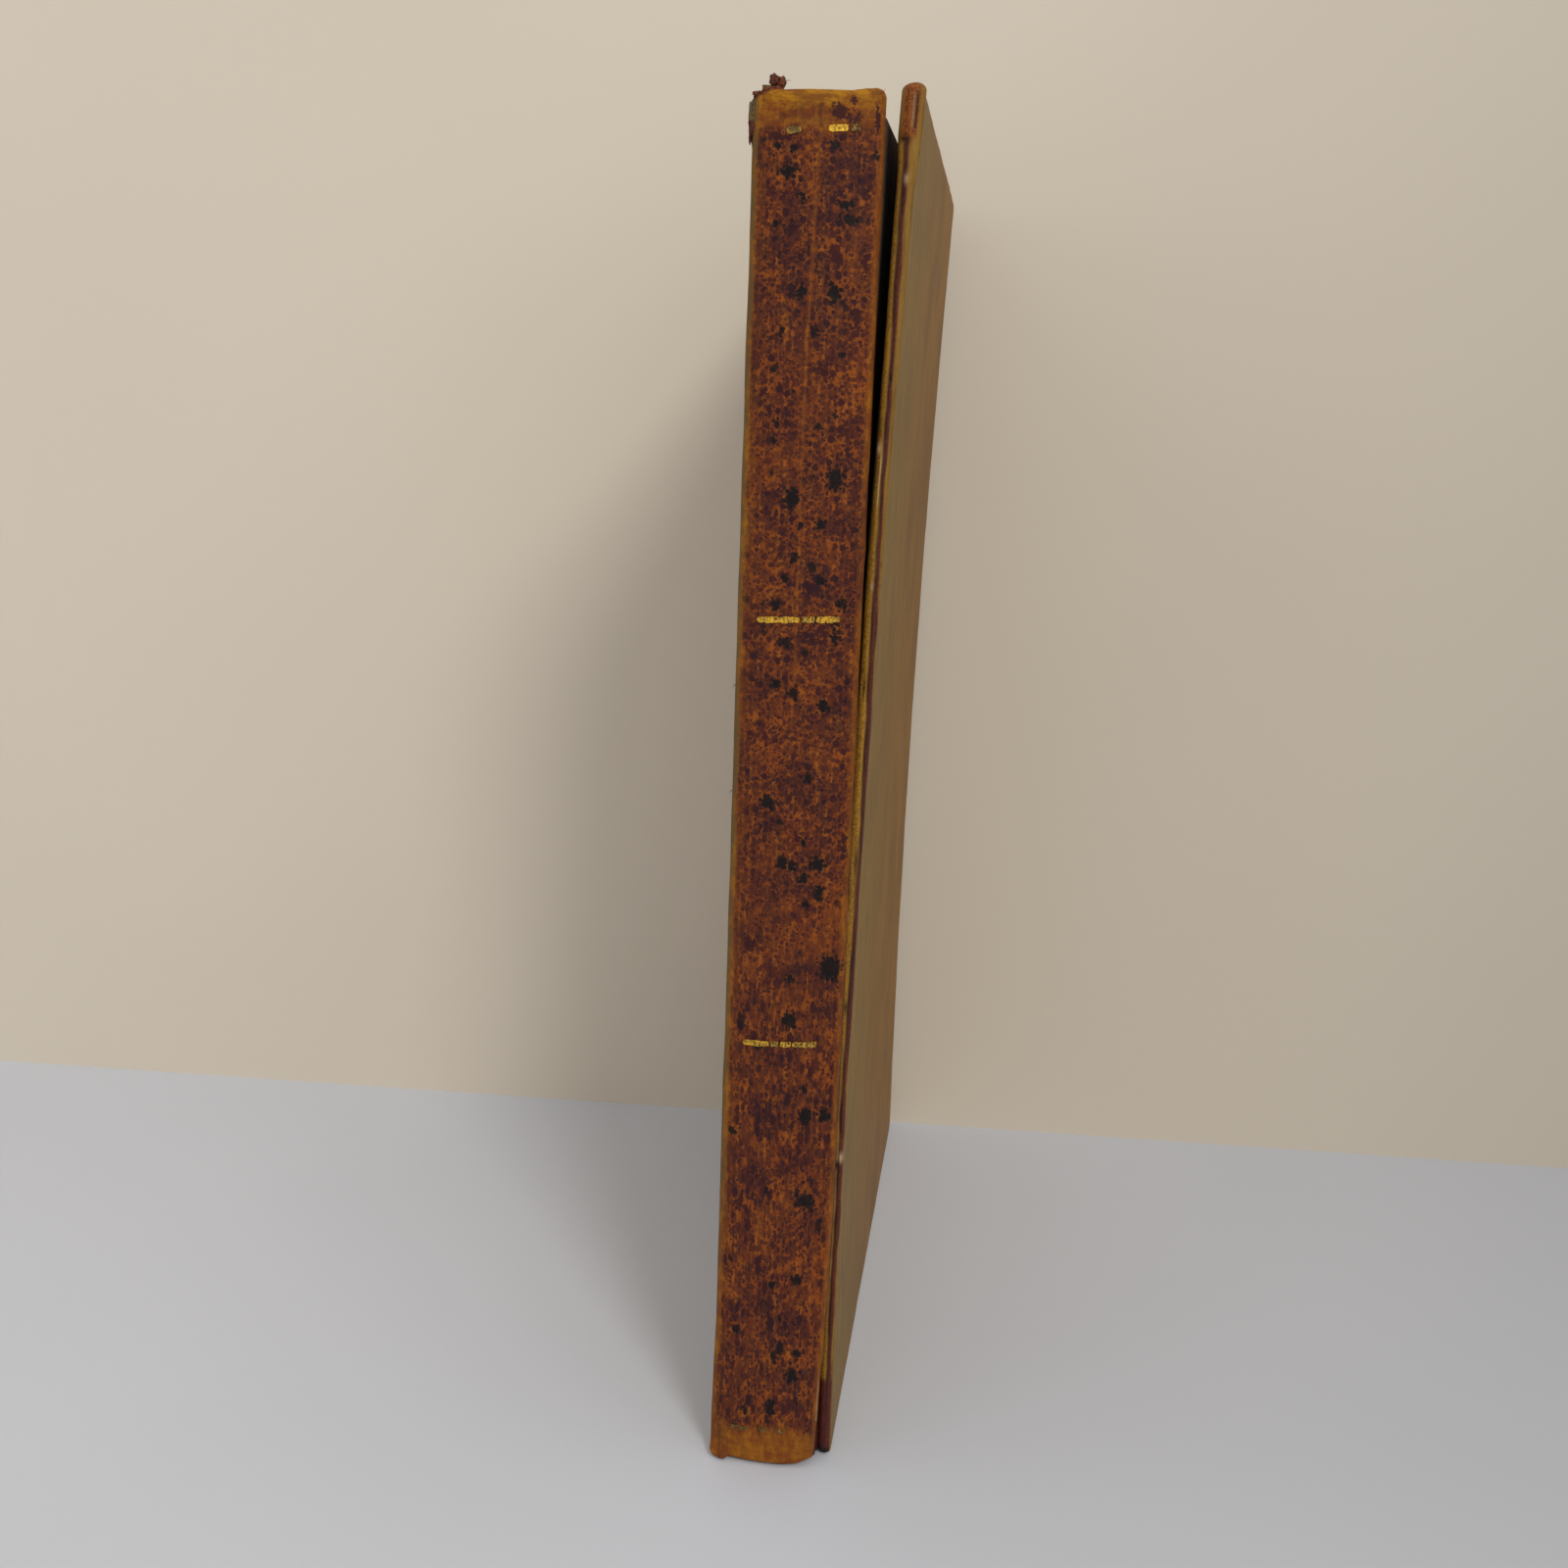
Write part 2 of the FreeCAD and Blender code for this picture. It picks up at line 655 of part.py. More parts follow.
# Every object sound, every sub-part one valid solid, then one file each
for thing in doc.Objects:
    bad = [state for state in thing.State if state in ("Invalid", "Error")]
    if bad:
        raise RuntimeError("%s is %s" % (thing.Name, bad))
os.makedirs("parts", exist_ok=True)
for body, things in finished.items():
    for thing in things:
        shape = thing.Shape
        if shape.isNull() or not shape.isValid() or len(shape.Solids) != 1:
            raise RuntimeError("%s has no single sound solid" % thing.Label)
        shape.exportStep("parts/%s.step" % thing.Label)
        box = shape.BoundBox
        print(
            "%-22s %-12s %9.2f mm3  X %.2f..%.2f  Y %.2f..%.2f  Z %.2f..%.2f"
            % (thing.Label, body, shape.Volume, box.XMin, box.XMax, box.YMin, box.YMax, box.ZMin, box.ZMax)
        )
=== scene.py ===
import math

import bmesh
import bpy
import numpy as np
from mathutils import Matrix, Vector, noise


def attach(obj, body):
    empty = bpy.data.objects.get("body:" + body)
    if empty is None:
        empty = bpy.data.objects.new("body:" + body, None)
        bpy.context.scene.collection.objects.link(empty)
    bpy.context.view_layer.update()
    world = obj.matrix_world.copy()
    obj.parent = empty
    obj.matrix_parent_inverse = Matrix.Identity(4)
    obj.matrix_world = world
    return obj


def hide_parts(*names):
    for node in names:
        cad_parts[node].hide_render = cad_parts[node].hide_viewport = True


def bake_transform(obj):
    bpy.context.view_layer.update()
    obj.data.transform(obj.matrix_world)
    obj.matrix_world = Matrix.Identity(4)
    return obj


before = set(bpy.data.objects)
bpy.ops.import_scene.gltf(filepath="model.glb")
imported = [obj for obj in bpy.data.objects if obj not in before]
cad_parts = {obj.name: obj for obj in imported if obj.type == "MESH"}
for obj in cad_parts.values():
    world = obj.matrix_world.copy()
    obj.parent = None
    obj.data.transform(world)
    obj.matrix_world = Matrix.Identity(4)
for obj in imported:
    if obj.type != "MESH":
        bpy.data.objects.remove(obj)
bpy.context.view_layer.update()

# Text block: folded and sewn rag-paper leaves, backed to a shoulder on each side.
# The edges were trimmed with a plough and have browned. Single leaves stand a little proud.
origin = np.array((2.297, 58.6, 0.0))
block_side, shoulder_side = 5.8, 7.7
block_tail, block_head, block_fore = 3.0, 195.5, 118.0
shoulder_depth, tail_narrowing = 2.5, 1.15
leaf_number, valley_depth, fore_hollow = 84, 0.14, 0.8


def placed(points):
    """Millimetres from the spine's middle, the joint line and the table, as metres in the frame."""
    return (np.asarray(points, dtype=float) - origin) / 1000


def piece(name, points, faces, smooth=True):
    """One mesh object from points in millimetres."""
    mesh = bpy.data.meshes.new(name)
    mesh.from_pydata(placed(points).tolist(), [], faces)
    mesh.update()
    made = bpy.data.objects.new(name, mesh)
    bpy.context.scene.collection.objects.link(made)
    shape = bmesh.new()
    shape.from_mesh(mesh)
    bmesh.ops.recalc_face_normals(shape, faces=shape.faces)
    shape.to_mesh(mesh)
    shape.free()
    for face in mesh.polygons:
        face.use_smooth = smooth
    return made


def quads(rows, columns, start=0, round_rows=False, round_columns=False):
    """Faces between neighbouring points of a grid stored row by row."""
    faces = []
    for row in range(rows if round_rows else rows - 1):
        for column in range(columns if round_columns else columns - 1):
            below, above = row * columns, (row + 1) % rows * columns
            right = (column + 1) % columns
            faces.append((start + below + column, start + below + right,
                          start + above + right, start + above + column))
    return faces


def eased(value, low, high):
    """0 below low, 1 above high, smooth between."""
    share = np.clip((np.asarray(value, dtype=float) - low) / (high - low), 0, 1)
    return share * share * (3 - 2 * share)


class Socket:
    """One output of a finish's node. A sum on it adds a Math node."""

    def __init__(self, finish, output):
        self.finish = finish
        self.output = output

    def math(self, operation, *values):
        return self.finish.node("ShaderNodeMath", {"operation": operation}, dict(enumerate(values)))

    def __add__(self, other):
        return self.math("ADD", self, other)

    __radd__ = __add__

    def __sub__(self, other):
        return self.math("SUBTRACT", self, other)

    def __rsub__(self, other):
        return self.math("SUBTRACT", other, self)

    def __mul__(self, other):
        return self.math("MULTIPLY", self, other)

    def top(self, other):
        return self.math("MAXIMUM", self, other)

    def least(self, other):
        return self.math("MINIMUM", self, other)

    def wave(self):
        return self.math("SINE", self)

    def between(self, low, high):
        """0 at low and 1 at high, smooth between. high may be the smaller one."""
        return self.finish.node(
            "ShaderNodeMapRange", {"interpolation_type": "SMOOTHSTEP"},
            {"Value": self, "From Min": low, "From Max": high},
        )


def paint(red, green, blue):
    """A colour as the eye reads it, 0 to 255, in the linear values that a shader takes."""
    shares = [c / 255 for c in (red, green, blue)]
    return (*[s / 12.92 if s <= 0.04 else ((s + 0.055) / 1.055) ** 2.4 for s in shares], 1.0)


class Finish:
    """A procedural material. Its spots and streaks are measured in millimetres."""

    def __init__(self, name, roughness=0.6, shine=0.5, **constants):
        self.material = bpy.data.materials.new(name)
        self.material.use_nodes = True
        self.tree = self.material.node_tree
        self.surface = self.tree.nodes["Principled BSDF"]
        constants = {"Roughness": roughness, "Specular IOR Level": shine, **constants}
        for label, value in constants.items():
            self.surface.inputs[label.replace("_", " ")].default_value = value
        where = self.node("ShaderNodeTexCoord", {}, {}, "Object")
        self.where = self.stretched(where, (1000, 1000, 1000))

    def node(self, kind, settings, inputs, output=0):
        made = self.tree.nodes.new(kind)
        for name, value in settings.items():
            setattr(made, name, value)
        for label, value in inputs.items():
            if isinstance(value, Socket):
                self.tree.links.new(value.output, made.inputs[label])
            else:
                made.inputs[label].default_value = value
        return Socket(self, made.outputs[output])

    def stretched(self, vector, scale):
        return self.node("ShaderNodeVectorMath", {"operation": "MULTIPLY"}, {0: vector, 1: scale})

    def shifted(self, vector, shift):
        return self.node("ShaderNodeVectorMath", {"operation": "ADD"}, {0: vector, 1: shift})

    def measure(self, axis):
        """Millimetres along X, Y or Z, which are 0, 1 and 2."""
        return self.node("ShaderNodeSeparateXYZ", {}, {"Vector": self.where}, axis)

    def marks(self, name):
        """The numbers kept on the piece by marked()."""
        return self.node("ShaderNodeAttribute", {"attribute_name": name}, {}, "Fac")

    def clouds(self, size, detail=2.0, rough=0.5, stretch=None, shift=0.0):
        """Noise about 0.5 with lumps of the given size."""
        vector = self.where if stretch is None else self.stretched(self.where, stretch)
        vector = self.shifted(vector, (shift, shift, shift))
        return self.node(
            "ShaderNodeTexNoise", {},
            {"Vector": vector, "Scale": 1 / size, "Detail": detail, "Roughness": rough},
        )

    def mixed(self, share, first, second):
        """first where share is 0, second where it is 1."""
        inputs = {0: share, 6: first, 7: second}
        return self.node("ShaderNodeMix", {"data_type": "RGBA"}, inputs, 2)

    def coats(self, colour, *coats):
        """Lays coats of colour one over another. Each is its share and its colour."""
        for share, coat in coats:
            colour = self.mixed(share, colour, coat)
        return colour

    def spots(self, cell, radius, spread, shift, crooked=0.35, stretch=(1.0, 1.0, 1.0)):
        """Round spots, one to a cell. radius and spread are shares of the cell. 1 inside a spot."""
        bend = self.node(
            "ShaderNodeTexNoise", {}, {"Vector": self.where, "Scale": 2.2 / cell, "Detail": 1.0}, "Color",
        )
        bent = self.node(
            "ShaderNodeVectorMath", {"operation": "MULTIPLY_ADD"},
            {0: bend, 1: (crooked * cell,) * 3, 2: self.stretched(self.where, stretch)},
        )
        moved = self.shifted(bent, (shift, shift * 0.7, shift * 1.3))
        inputs = {"Vector": moved, "Scale": 1 / cell}
        distance = self.node("ShaderNodeTexVoronoi", {}, inputs, "Distance")
        chance_colour = Socket(self, distance.output.node.outputs["Color"])
        chance = self.node("ShaderNodeSeparateColor", {}, {"Color": chance_colour})
        size = chance * spread + (radius - spread)
        return (size - distance).between(-0.05, 0.07)

    def wear(self, **links):
        """Feeds the surface's sockets that change from place to place."""
        for label, value in links.items():
            self.tree.links.new(value.output, self.surface.inputs[label.replace("_", " ")])
        return self

    def relief(self, height, depth):
        """Raises the surface by height times depth millimetres in the shading."""
        bump = self.node("ShaderNodeBump", {}, {"Height": height, "Distance": depth / 1000})
        self.tree.links.new(bump.output, self.surface.inputs["Normal"])
        return self


def dressed(made, finish, body, slot, *nodes):
    """Gives a new piece its finish and its body, and hides the nodes it replaces. slot is not used. A piece
    that bends has no one body.
    """
    made.data.materials.clear()
    made.data.materials.append(finish.material)
    if body:
        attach(made, body)
    for node in nodes:
        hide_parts(node)
    return made


def text_block():
    """One closed shell: leaves side by side, their edges running tail, fore-edge and head."""
    chance = np.random.default_rng(11)
    depths = [-shoulder_depth - 0.3, -2.0, -1.4, -0.9, -0.5, -0.2, 0.1, 0.6, 1.4]
    depths += [3, 6, 12, 25, 45, 70, 92, 108, 115]
    heights = np.linspace(block_tail, block_head, 40)
    edges = []
    for leaf in range(leaf_number):
        for part in (0.0, 0.75):
            edges.append(((leaf + part) / leaf_number * 2 - 1, leaf, part == 0.0))
    edges.append((1.0, leaf_number - 1, True))
    proud = chance.normal(0, 0.07, leaf_number)
    proud[chance.integers(0, leaf_number, 9)] += 0.25
    points = []
    for share, leaf, valley in edges:
        lift = proud[leaf] - (valley_depth if valley else 0.0)
        hollow = fore_hollow * (1 - share * share)
        flare = eased(depths, 1.2 - 1.5 * abs(share), -0.8)
        flank = list(zip(share * (block_side + (shoulder_side - block_side) * flare), depths))
        points += [(side, depth, block_tail - lift) for side, depth in flank]
        for height in heights:
            ripple = 0.05 * math.sin(height / 9 + leaf * 0.7)
            points.append((share * block_side, block_fore - hollow + lift + ripple, height))
        points += [(side, depth, block_head + lift) for side, depth in reversed(flank)]
    points = np.array(points)
    at_joint = eased(points[:, 1], 1.2, -0.8) * (np.clip(points[:, 0], 0, None) / 8.5) ** 2
    points[:, 0] -= tail_narrowing * at_joint * eased(points[:, 2], 42, -4)
    length = 2 * len(depths) + len(heights)
    faces = quads(len(edges), length, round_columns=True)
    for first in (0, (len(edges) - 1) * length):
        flat = len(depths)
        last = first + length - 1
        for step in range(flat - 1):
            faces.append((first + step, first + step + 1, last - step - 1, last - step))
        faces.append(tuple(range(first + flat - 1, first + length - flat + 1)))
    return piece("text_block_leaves", points, faces, smooth=False)


aged_paper = Finish("aged_paper_edges", roughness=0.85)
browning = aged_paper.clouds(22, 4.0, 0.6)
lines = aged_paper.clouds(0.22, 1.0, 0.5, (1.0, 0.02, 0.02))
soot = aged_paper.clouds(3.5, 3.0, 0.6, (0.4, 1.0, 1.0), 40.0)
paper_colour = aged_paper.coats(
    paint(188, 160, 112),
    (browning.between(0.3, 0.7), paint(160, 126, 78)),
    (lines.between(0.45, 0.7) * 0.55, paint(98, 70, 40)),
    (soot.between(0.52, 0.75) * 0.6, paint(112, 84, 52)),
)
aged_paper.wear(Base_Color=paper_colour).relief(lines, 0.06)
dressed(text_block(), aged_paper, "book_block", "leaves", "text_block")

# Flyleaves and pastedowns: the endpapers, laid paper browned round its edges and foxed.
# The front flyleaf has sprung out with its cover. Near the joint the paper is painted dark as shade, and on
# the front side this painted shade reaches further in near the head.
endpaper = Finish("foxed_endpaper", roughness=0.9)
across_place, side_place, level_place = (endpaper.measure(axis) for axis in range(3))
patchy = endpaper.clouds(14, 4.0, 0.6)
edge_gap = (level_place - 10).least(191 - level_place).least(52 - side_place)
ragged = endpaper.clouds(5, 4.0, 0.7, None, 60.0)
scorch = (edge_gap + (patchy - 0.5) * 18 + (ragged - 0.5) * 14).between(9.0, -4.0)
# Painted shade: the paper near the joint is darkened, further in near the head on the front side.
head_shade_reach = level_place.between(135.0, 190.0) * across_place.between(1.0, 4.0) * 45
joint_shade = (side_place - head_shade_reach + (patchy - 0.5) * 22 + (ragged - 0.5) * 16).between(-46.0, -58.0)
foxing = endpaper.spots(9.0, 0.22, 0.5, 3.0)
laid = endpaper.clouds(0.5, 0.0, 0.5, (1.0, 0.05, 1.0), 7.0)
sheet_colour = endpaper.coats(
    paint(206, 188, 148),
    (patchy.between(0.3, 0.75), paint(184, 160, 116)),
    (foxing * 0.5, paint(160, 112, 62)),
    (scorch * 0.6, paint(140, 104, 62)),
    (joint_shade * 0.9, paint(60, 36, 36)),
)
endpaper.wear(Base_Color=sheet_colour).relief(laid, 0.05)


def coated(node, finish):
    """Gives a packed sub-part its finish."""
    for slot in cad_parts[node].material_slots:
        slot.material = finish.material


for node in ("front_flyleaf", "back_flyleaf"):
    coated(node, endpaper)

# Sewing cords, their laced slips and the kettle stitches: twisted hemp and linen thread.
# The cords lie in sawn kerfs across the back, and their frayed ends are laced through the boards.
hemp = Finish("twisted_hemp", roughness=0.9)
twist = hemp.clouds(0.3, 2.0, 0.5, (1.0, 0.35, 0.35))
hemp.wear(Base_Color=hemp.mixed(twist.between(0.35, 0.65), paint(150, 120, 76), paint(196, 168, 118)))
hemp.relief(twist, 0.15)
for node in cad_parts:
    if "_slip_" in node or node.startswith(("sewing_cord", "kettle_stitch")):
        coated(node, hemp)

# Spine lining: a strip of waste paper, brown with old animal glue.
# It is pasted over the cords and the backs of the leaves, under the calf.
glued_paper = Finish("glue_soaked_paper", roughness=0.7)
glue = glued_paper.clouds(6, 3.0, 0.6)
glue_colour = glued_paper.mixed(glue.between(0.3, 0.7), paint(150, 112, 62), paint(104, 70, 36))
glued_paper.wear(Base_Color=glue_colour)
coated("spine_lining", glued_paper)

# Endbands: silk in two colours, faded and dusty, at each end of the leaves.
# It is wound round a hemp core and tied down through the sections.
silk = Finish("faded_silk", roughness=0.55, Sheen_Weight=0.3)
colour_band = (silk.measure(0) * 2.4).wave().between(-0.2, 0.2)
dust = silk.clouds(1.2, 3.0, 0.6)
silk_colour = silk.coats(
    paint(122, 112, 74),
    (colour_band, paint(176, 150, 98)),
    (dust.between(0.4, 0.7) * 0.5, paint(110, 88, 58)),
)
silk.wear(Base_Color=silk_colour).relief(silk.clouds(0.08, 1.0, 0.5, (1.0, 0.2, 0.2)), 0.03)
for node in ("tail_endband", "head_endband"):
    coated(node, silk)
for node in ("tail_endband_core", "head_endband_core"):
    coated(node, hemp)

# Spine leather: tan calf, sprinkled with iron black and worn to ochre at its edges; along its left edge the
# ochre and olive are partly a painted highlight.
# It is pasted tight on the back, folded in over head and tail, and has torn from the front cover.
spine_side, corner_size, flat_depth, crown = 8.5, 1.2, 3.5, 0.8
leather_skin, cap_fold, joint_gap, roof_side = 0.6, 1.1, 0.3, 7.85
spine_tail, spine_head = 0.2, 198.1
flat_side = spine_side - corner_size
crown_radius = (flat_side ** 2 + crown ** 2) / (2 * crown)
gilt_levels = {"gilt_band_1": 6.4, "gilt_band_2": 69.27, "gilt_band_3": 130.7, "gilt_band_4": 193.3}
gilt_slant = 0.055


def marked(made, name, values):
    """Keeps one number for each point of a piece, for its finish to read."""
    store = made.data.attributes.new(name, "FLOAT", "POINT")
    store.data.foreach_set("value", np.asarray(values, dtype=np.float32))


def uneven(points, pitch, seed):
    """Smooth noise from -1 to 1 at each point, with lumps about pitch millimetres apart."""
    shift = Vector((seed * 17.3, seed * 5.1, seed * 9.7))
    return np.array([noise.noise(Vector(p) / pitch + shift) for p in points])


def outline_of_spine(inward, count):
    """Points across the spine from the front joint to the back joint, inward from its face."""
    side = spine_side - inward
    corner = corner_size - inward
    middle = crown_radius - flat_depth - crown
    bend = [(math.cos(turn), math.sin(turn)) for turn in np.linspace(0, math.pi / 2, 9)]
    right = [(side, -joint_gap)]
    right += [(flat_side + corner * c, -(flat_depth - corner_size) - corner * s) for c, s in bend]
    across = np.linspace(flat_side, -flat_side, 61)[1:-1]
    face = [(x, middle - math.sqrt((crown_radius - inward) ** 2 - x * x)) for x in across]
    left = [(-x, y) for x, y in reversed(right)]
    line = np.array(right + face + left)
    run = np.concatenate(([0], np.cumsum(np.hypot(*np.diff(line, axis=0).T))))
    even = np.linspace(0, run[-1], count)
    return np.stack([np.interp(even, run, line[:, 0]), np.interp(even, run, line[:, 1])], axis=1)


def blotches(x, z, marks):
    """Soft round marks: each has its place across and up, its half width, half height and strength."""
    total = np.zeros(len(x))
    for across, level, half_width, half_height, strength in marks:
        gap = ((x - across) / half_width) ** 2 + ((z - level) / half_height) ** 2
        total = np.maximum(total, strength * np.exp(-gap * 1.2))
    return total


# Ink that pooled into black spots when the calf was sprinkled, from head to tail
ink_pools = [
    (-2.8, 191, 0.8, 0.7, 1), (2.6, 191.5, 0.9, 0.8, 1), (-4.9, 191.3, 0.4, 0.8, 0.9),
    (7.8, 190.2, 0.6, 0.7, 0.9), (-3.4, 188.2, 1.4, 1.1, 0.9), (-5.4, 189.6, 0.5, 0.6, 0.7),
    (4.1, 184.3, 1.2, 0.6, 1.1), (4.8, 182.6, 1.4, 0.6, 1.1), (-4.5, 181.8, 1, 0.5, 0.8),
    (-1.4, 184.8, 0.8, 0.9, 0.8), (3.2, 173.4, 1, 1.4, 1.1), (-1.2, 173.3, 0.8, 1.3, 0.8),
    (0.7, 168.2, 0.6, 0.8, 1), (-3.6, 168.3, 0.6, 1, 0.8), (-3.7, 156.7, 0.5, 0.6, 1),
    (1.8, 156.4, 0.6, 0.7, 1), (-4, 154.3, 0.7, 0.8, 0.8), (4.4, 149.6, 1.1, 1.8, 1.2),
    (-1.4, 146.8, 1.2, 1.9, 1), (0, 143.4, 0.7, 0.6, 1), (2.7, 143.6, 1, 0.9, 1),
    (-0.8, 139.1, 0.8, 1, 0.9), (-1.9, 136.1, 0.6, 0.7, 1), (3.1, 136.2, 0.8, 0.8, 0.9),
    (-3, 132.6, 0.8, 0.8, 1.1), (6, 133.2, 1, 1.2, 0.9), (-1.5, 127.6, 1.1, 0.8, 1),
    (5.2, 128.4, 0.8, 2.2, 0.8), (-2.5, 121.7, 0.8, 0.8, 1.1), (-0.1, 120.6, 0.9, 1.1, 1.1),
    (4, 119, 0.9, 1, 1.1), (-3.1, 105, 1.3, 1.1, 1.1), (2.4, 108.9, 0.7, 0.8, 1),
    (-0.8, 96.5, 0.9, 1.3, 1.1), (0.6, 96.2, 0.7, 1, 1.1), (4.2, 96.5, 1.3, 1, 1.1),
    (2.3, 94.3, 0.8, 1, 1), (4.5, 92.3, 1, 1.6, 1), (2.7, 90.6, 0.8, 0.8, 1), (2.1, 99.5, 0.5, 0.9, 1),
    (6.6, 81.3, 1.7, 2, 1.2), (0.9, 79.3, 0.7, 0.8, 0.9), (1.1, 73, 1.3, 1.4, 1.1),
    (3.8, 62.4, 0.6, 0.9, 1), (4, 58.3, 1, 1.9, 1.2), (6.7, 58.4, 1.1, 1.2, 0.9),
    (4.5, 44.9, 2, 1.9, 0.8), (-6.8, 54.7, 0.8, 0.8, 0.8), (3.8, 31.9, 1.1, 1.1, 1),
    (0.1, 30.8, 0.8, 0.7, 1), (-5.1, 22.6, 0.8, 0.9, 1), (4.5, 19.7, 1, 0.9, 1.1),
    (0.8, 19, 0.6, 2, 0.9), (3.8, 16.3, 1.1, 1.8, 0.9), (0.6, 10, 0.8, 2.3, 0.9),
    (-3.2, 9.3, 0.6, 1, 0.9),
]

# Purple-brown clouds of the same sprinkling, where it ran together
purple_clouds = [
    (3.2, 195.5, 1.5, 1.1, 1), (5, 194.6, 1.3, 0.8, 0.9), (4.7, 196.7, 0.5, 0.5, 0.9),
    (7.7, 194.5, 0.4, 1.8, 0.9), (6.6, 185.7, 0.8, 1.8, 0.8), (6.9, 177.5, 0.8, 3, 0.7),
    (2.8, 178.4, 1.8, 1.6, 0.8), (-4.6, 192.4, 2.4, 0.6, 0.8), (2.2, 163.8, 2.2, 1.2, 0.8),
    (-6, 161, 1.4, 1.4, 0.7), (5.9, 170.4, 1, 1.8, 0.8), (2.5, 128.6, 2.4, 2.2, 0.7),
    (1.7, 135, 1.6, 1.9, 0.7), (-5, 84.2, 1.4, 1.4, 0.7), (7.8, 99.1, 0.5, 3, 0.9),
    (-5.3, 43.3, 1.6, 1.6, 0.7), (3.4, 10.4, 1.6, 1.8, 0.8), (-1.9, 34.2, 0.8, 1.8, 0.8),
    (-5.7, 26.5, 0.6, 1.8, 0.8), (0.2, 24.5, 0.7, 1.6, 0.8),
]


def spine_leather():
    """The calf as one closed shell: outer side, caps folded over the ends, and the pasted side."""
    columns, rows = 91, 400
    outer = outline_of_spine(0.0, columns)
    inner = outline_of_spine(leather_skin, columns)
    roof = np.stack([np.linspace(roof_side, -roof_side, columns), np.full(columns, -joint_gap)], axis=1)
    bend = 0.9
    low, high = spine_tail + bend, spine_head - bend
    curl = [(1 - math.cos(turn), math.sin(turn)) for turn in np.linspace(0, math.pi / 2, 6)[1:]]
    stack = [(spine_tail + bend * (1 - rise), back * bend) for back, rise in reversed(curl)]
    stack += [(level, 0.0) for level in np.linspace(low, high, rows)]
    stack += [(high + bend * rise, back * bend) for back, rise in curl]
    loop = []

    def ring(line, share, level):
        """The line across the spine, drawn towards the covers' edge by a share, at one level."""
        loop.append(np.column_stack([line + (roof - line) * share, np.full(columns, level)]))

    for level, back in stack:
        ring(outer, (back / np.maximum(-outer[:, 1], bend))[:, None], level)
    shares = (0.35, 0.6, 0.85, 1.0)
    ends = loop[0][:, :2], loop[-1][:, :2]
    for share in shares:
        ring(ends[1], share, spine_head)
    for share in (1.0, 0.5, 0.0):
        ring(inner, share, spine_head - cap_fold)
    for level in np.linspace(spine_head - cap_fold, spine_tail + cap_fold, 120)[1:-1]:
        ring(inner, 0.0, level)
    for share in (0.0, 0.5, 1.0):
        ring(inner, share, spine_tail + cap_fold)
    for share in reversed(shares):
        ring(ends[0], share, spine_tail)
    points = np.concatenate(loop)
    count = len(loop)
    faces = quads(count, columns, round_rows=True)
    for column in (0, columns - 1):
        faces.append(tuple(row * columns + column for row in range(count)))
    outside = np.zeros((count, columns))
    outside[:len(stack) + len(shares)] = 1
    outside[-len(shares):] = 1
    outside = outside.ravel()
    x, z = points[:, 0].copy(), points[:, 2].copy()
    along = np.column_stack([0 * z, 0 * z, z])

    # The head edge rises and falls, and the calf is torn at its left end
    head_line = np.interp(x, (-8.4, -7.6, -6.0, -4.4, -1.0, 4.3, 6.2, 7.4, 8.5),
                          (-0.6, -0.2, 0.25, 0.1, 0.15, 0.1, 0.4, 0.5, 0.4))
    points[:, 2] += head_line * eased(z, 190, 197.5)
    tail_line = np.interp(x, (-8.4, -7.0, -5.9, -5.6, 3.0, 5.5, 7.5), (0.35, 0.0, 0.0, 0.2, 0.1, 0.3, 1.0))
    points[:, 2] += tail_line * eased(z, 6, 1) * outside

    # The front side of the spine narrows towards the tail, and the back side swells slightly
    points[:, 0] -= tail_narrowing * (np.clip(x, 0, None) / spine_side) ** 2 * eased(z, 42, -4)
    points[:, 0] -= 0.25 * (np.clip(-x, 0, None) / spine_side) ** 2 * eased(z, 30, 0)
    points[:, 1] -= 0.9 * eased(x, -5.6, -6.4) * eased(z, 2.6, 0.4) * outside

    # Creases run along the spine, and the face is uneven from the cords and the paste
    swell = 0.13 * uneven(points, 11, 1) + 0.05 * uneven(points, 2.6, 2)
    creases = [(-7.3, 0.13, 0.2, 3), (-6.5, 0.06, 0.16, 4), (-0.1, 0.10, 0.14, 5),
               (2.8, 0.04, 0.12, 6), (5.4, 0.06, 0.14, 7), (6.9, 0.14, 0.2, 8)]
    for place, depth, half_width, seed in creases:
        wander = place + 0.35 * uneven(along, 26, seed)
        swell -= depth * np.exp(-((x - wander) / half_width) ** 2)
    points[:, 1] -= swell * outside * eased(-points[:, 1], 0.8, 2.6)
    side_swell = 0.10 * uneven(points, 7, 9) * outside * eased(abs(x), 7.2, 8.3)
    points[:, 0] += side_swell * np.sign(x)

    # The torn joint edge at the front is ragged down to where the leather still holds
    ragged = uneven(along, 1.3, 12) + 0.7 * uneven(along, 5, 13)
    tear = (0.35 + 0.45 * ragged) * eased(z, 88, 104)
    near_joint = eased(x, 7.0, 7.7) * eased(points[:, 1], -2.2, -0.3)
    points[:, 1] -= np.clip(tear, 0, 1.2) * near_joint
    made = piece("spine_calf", points, faces)

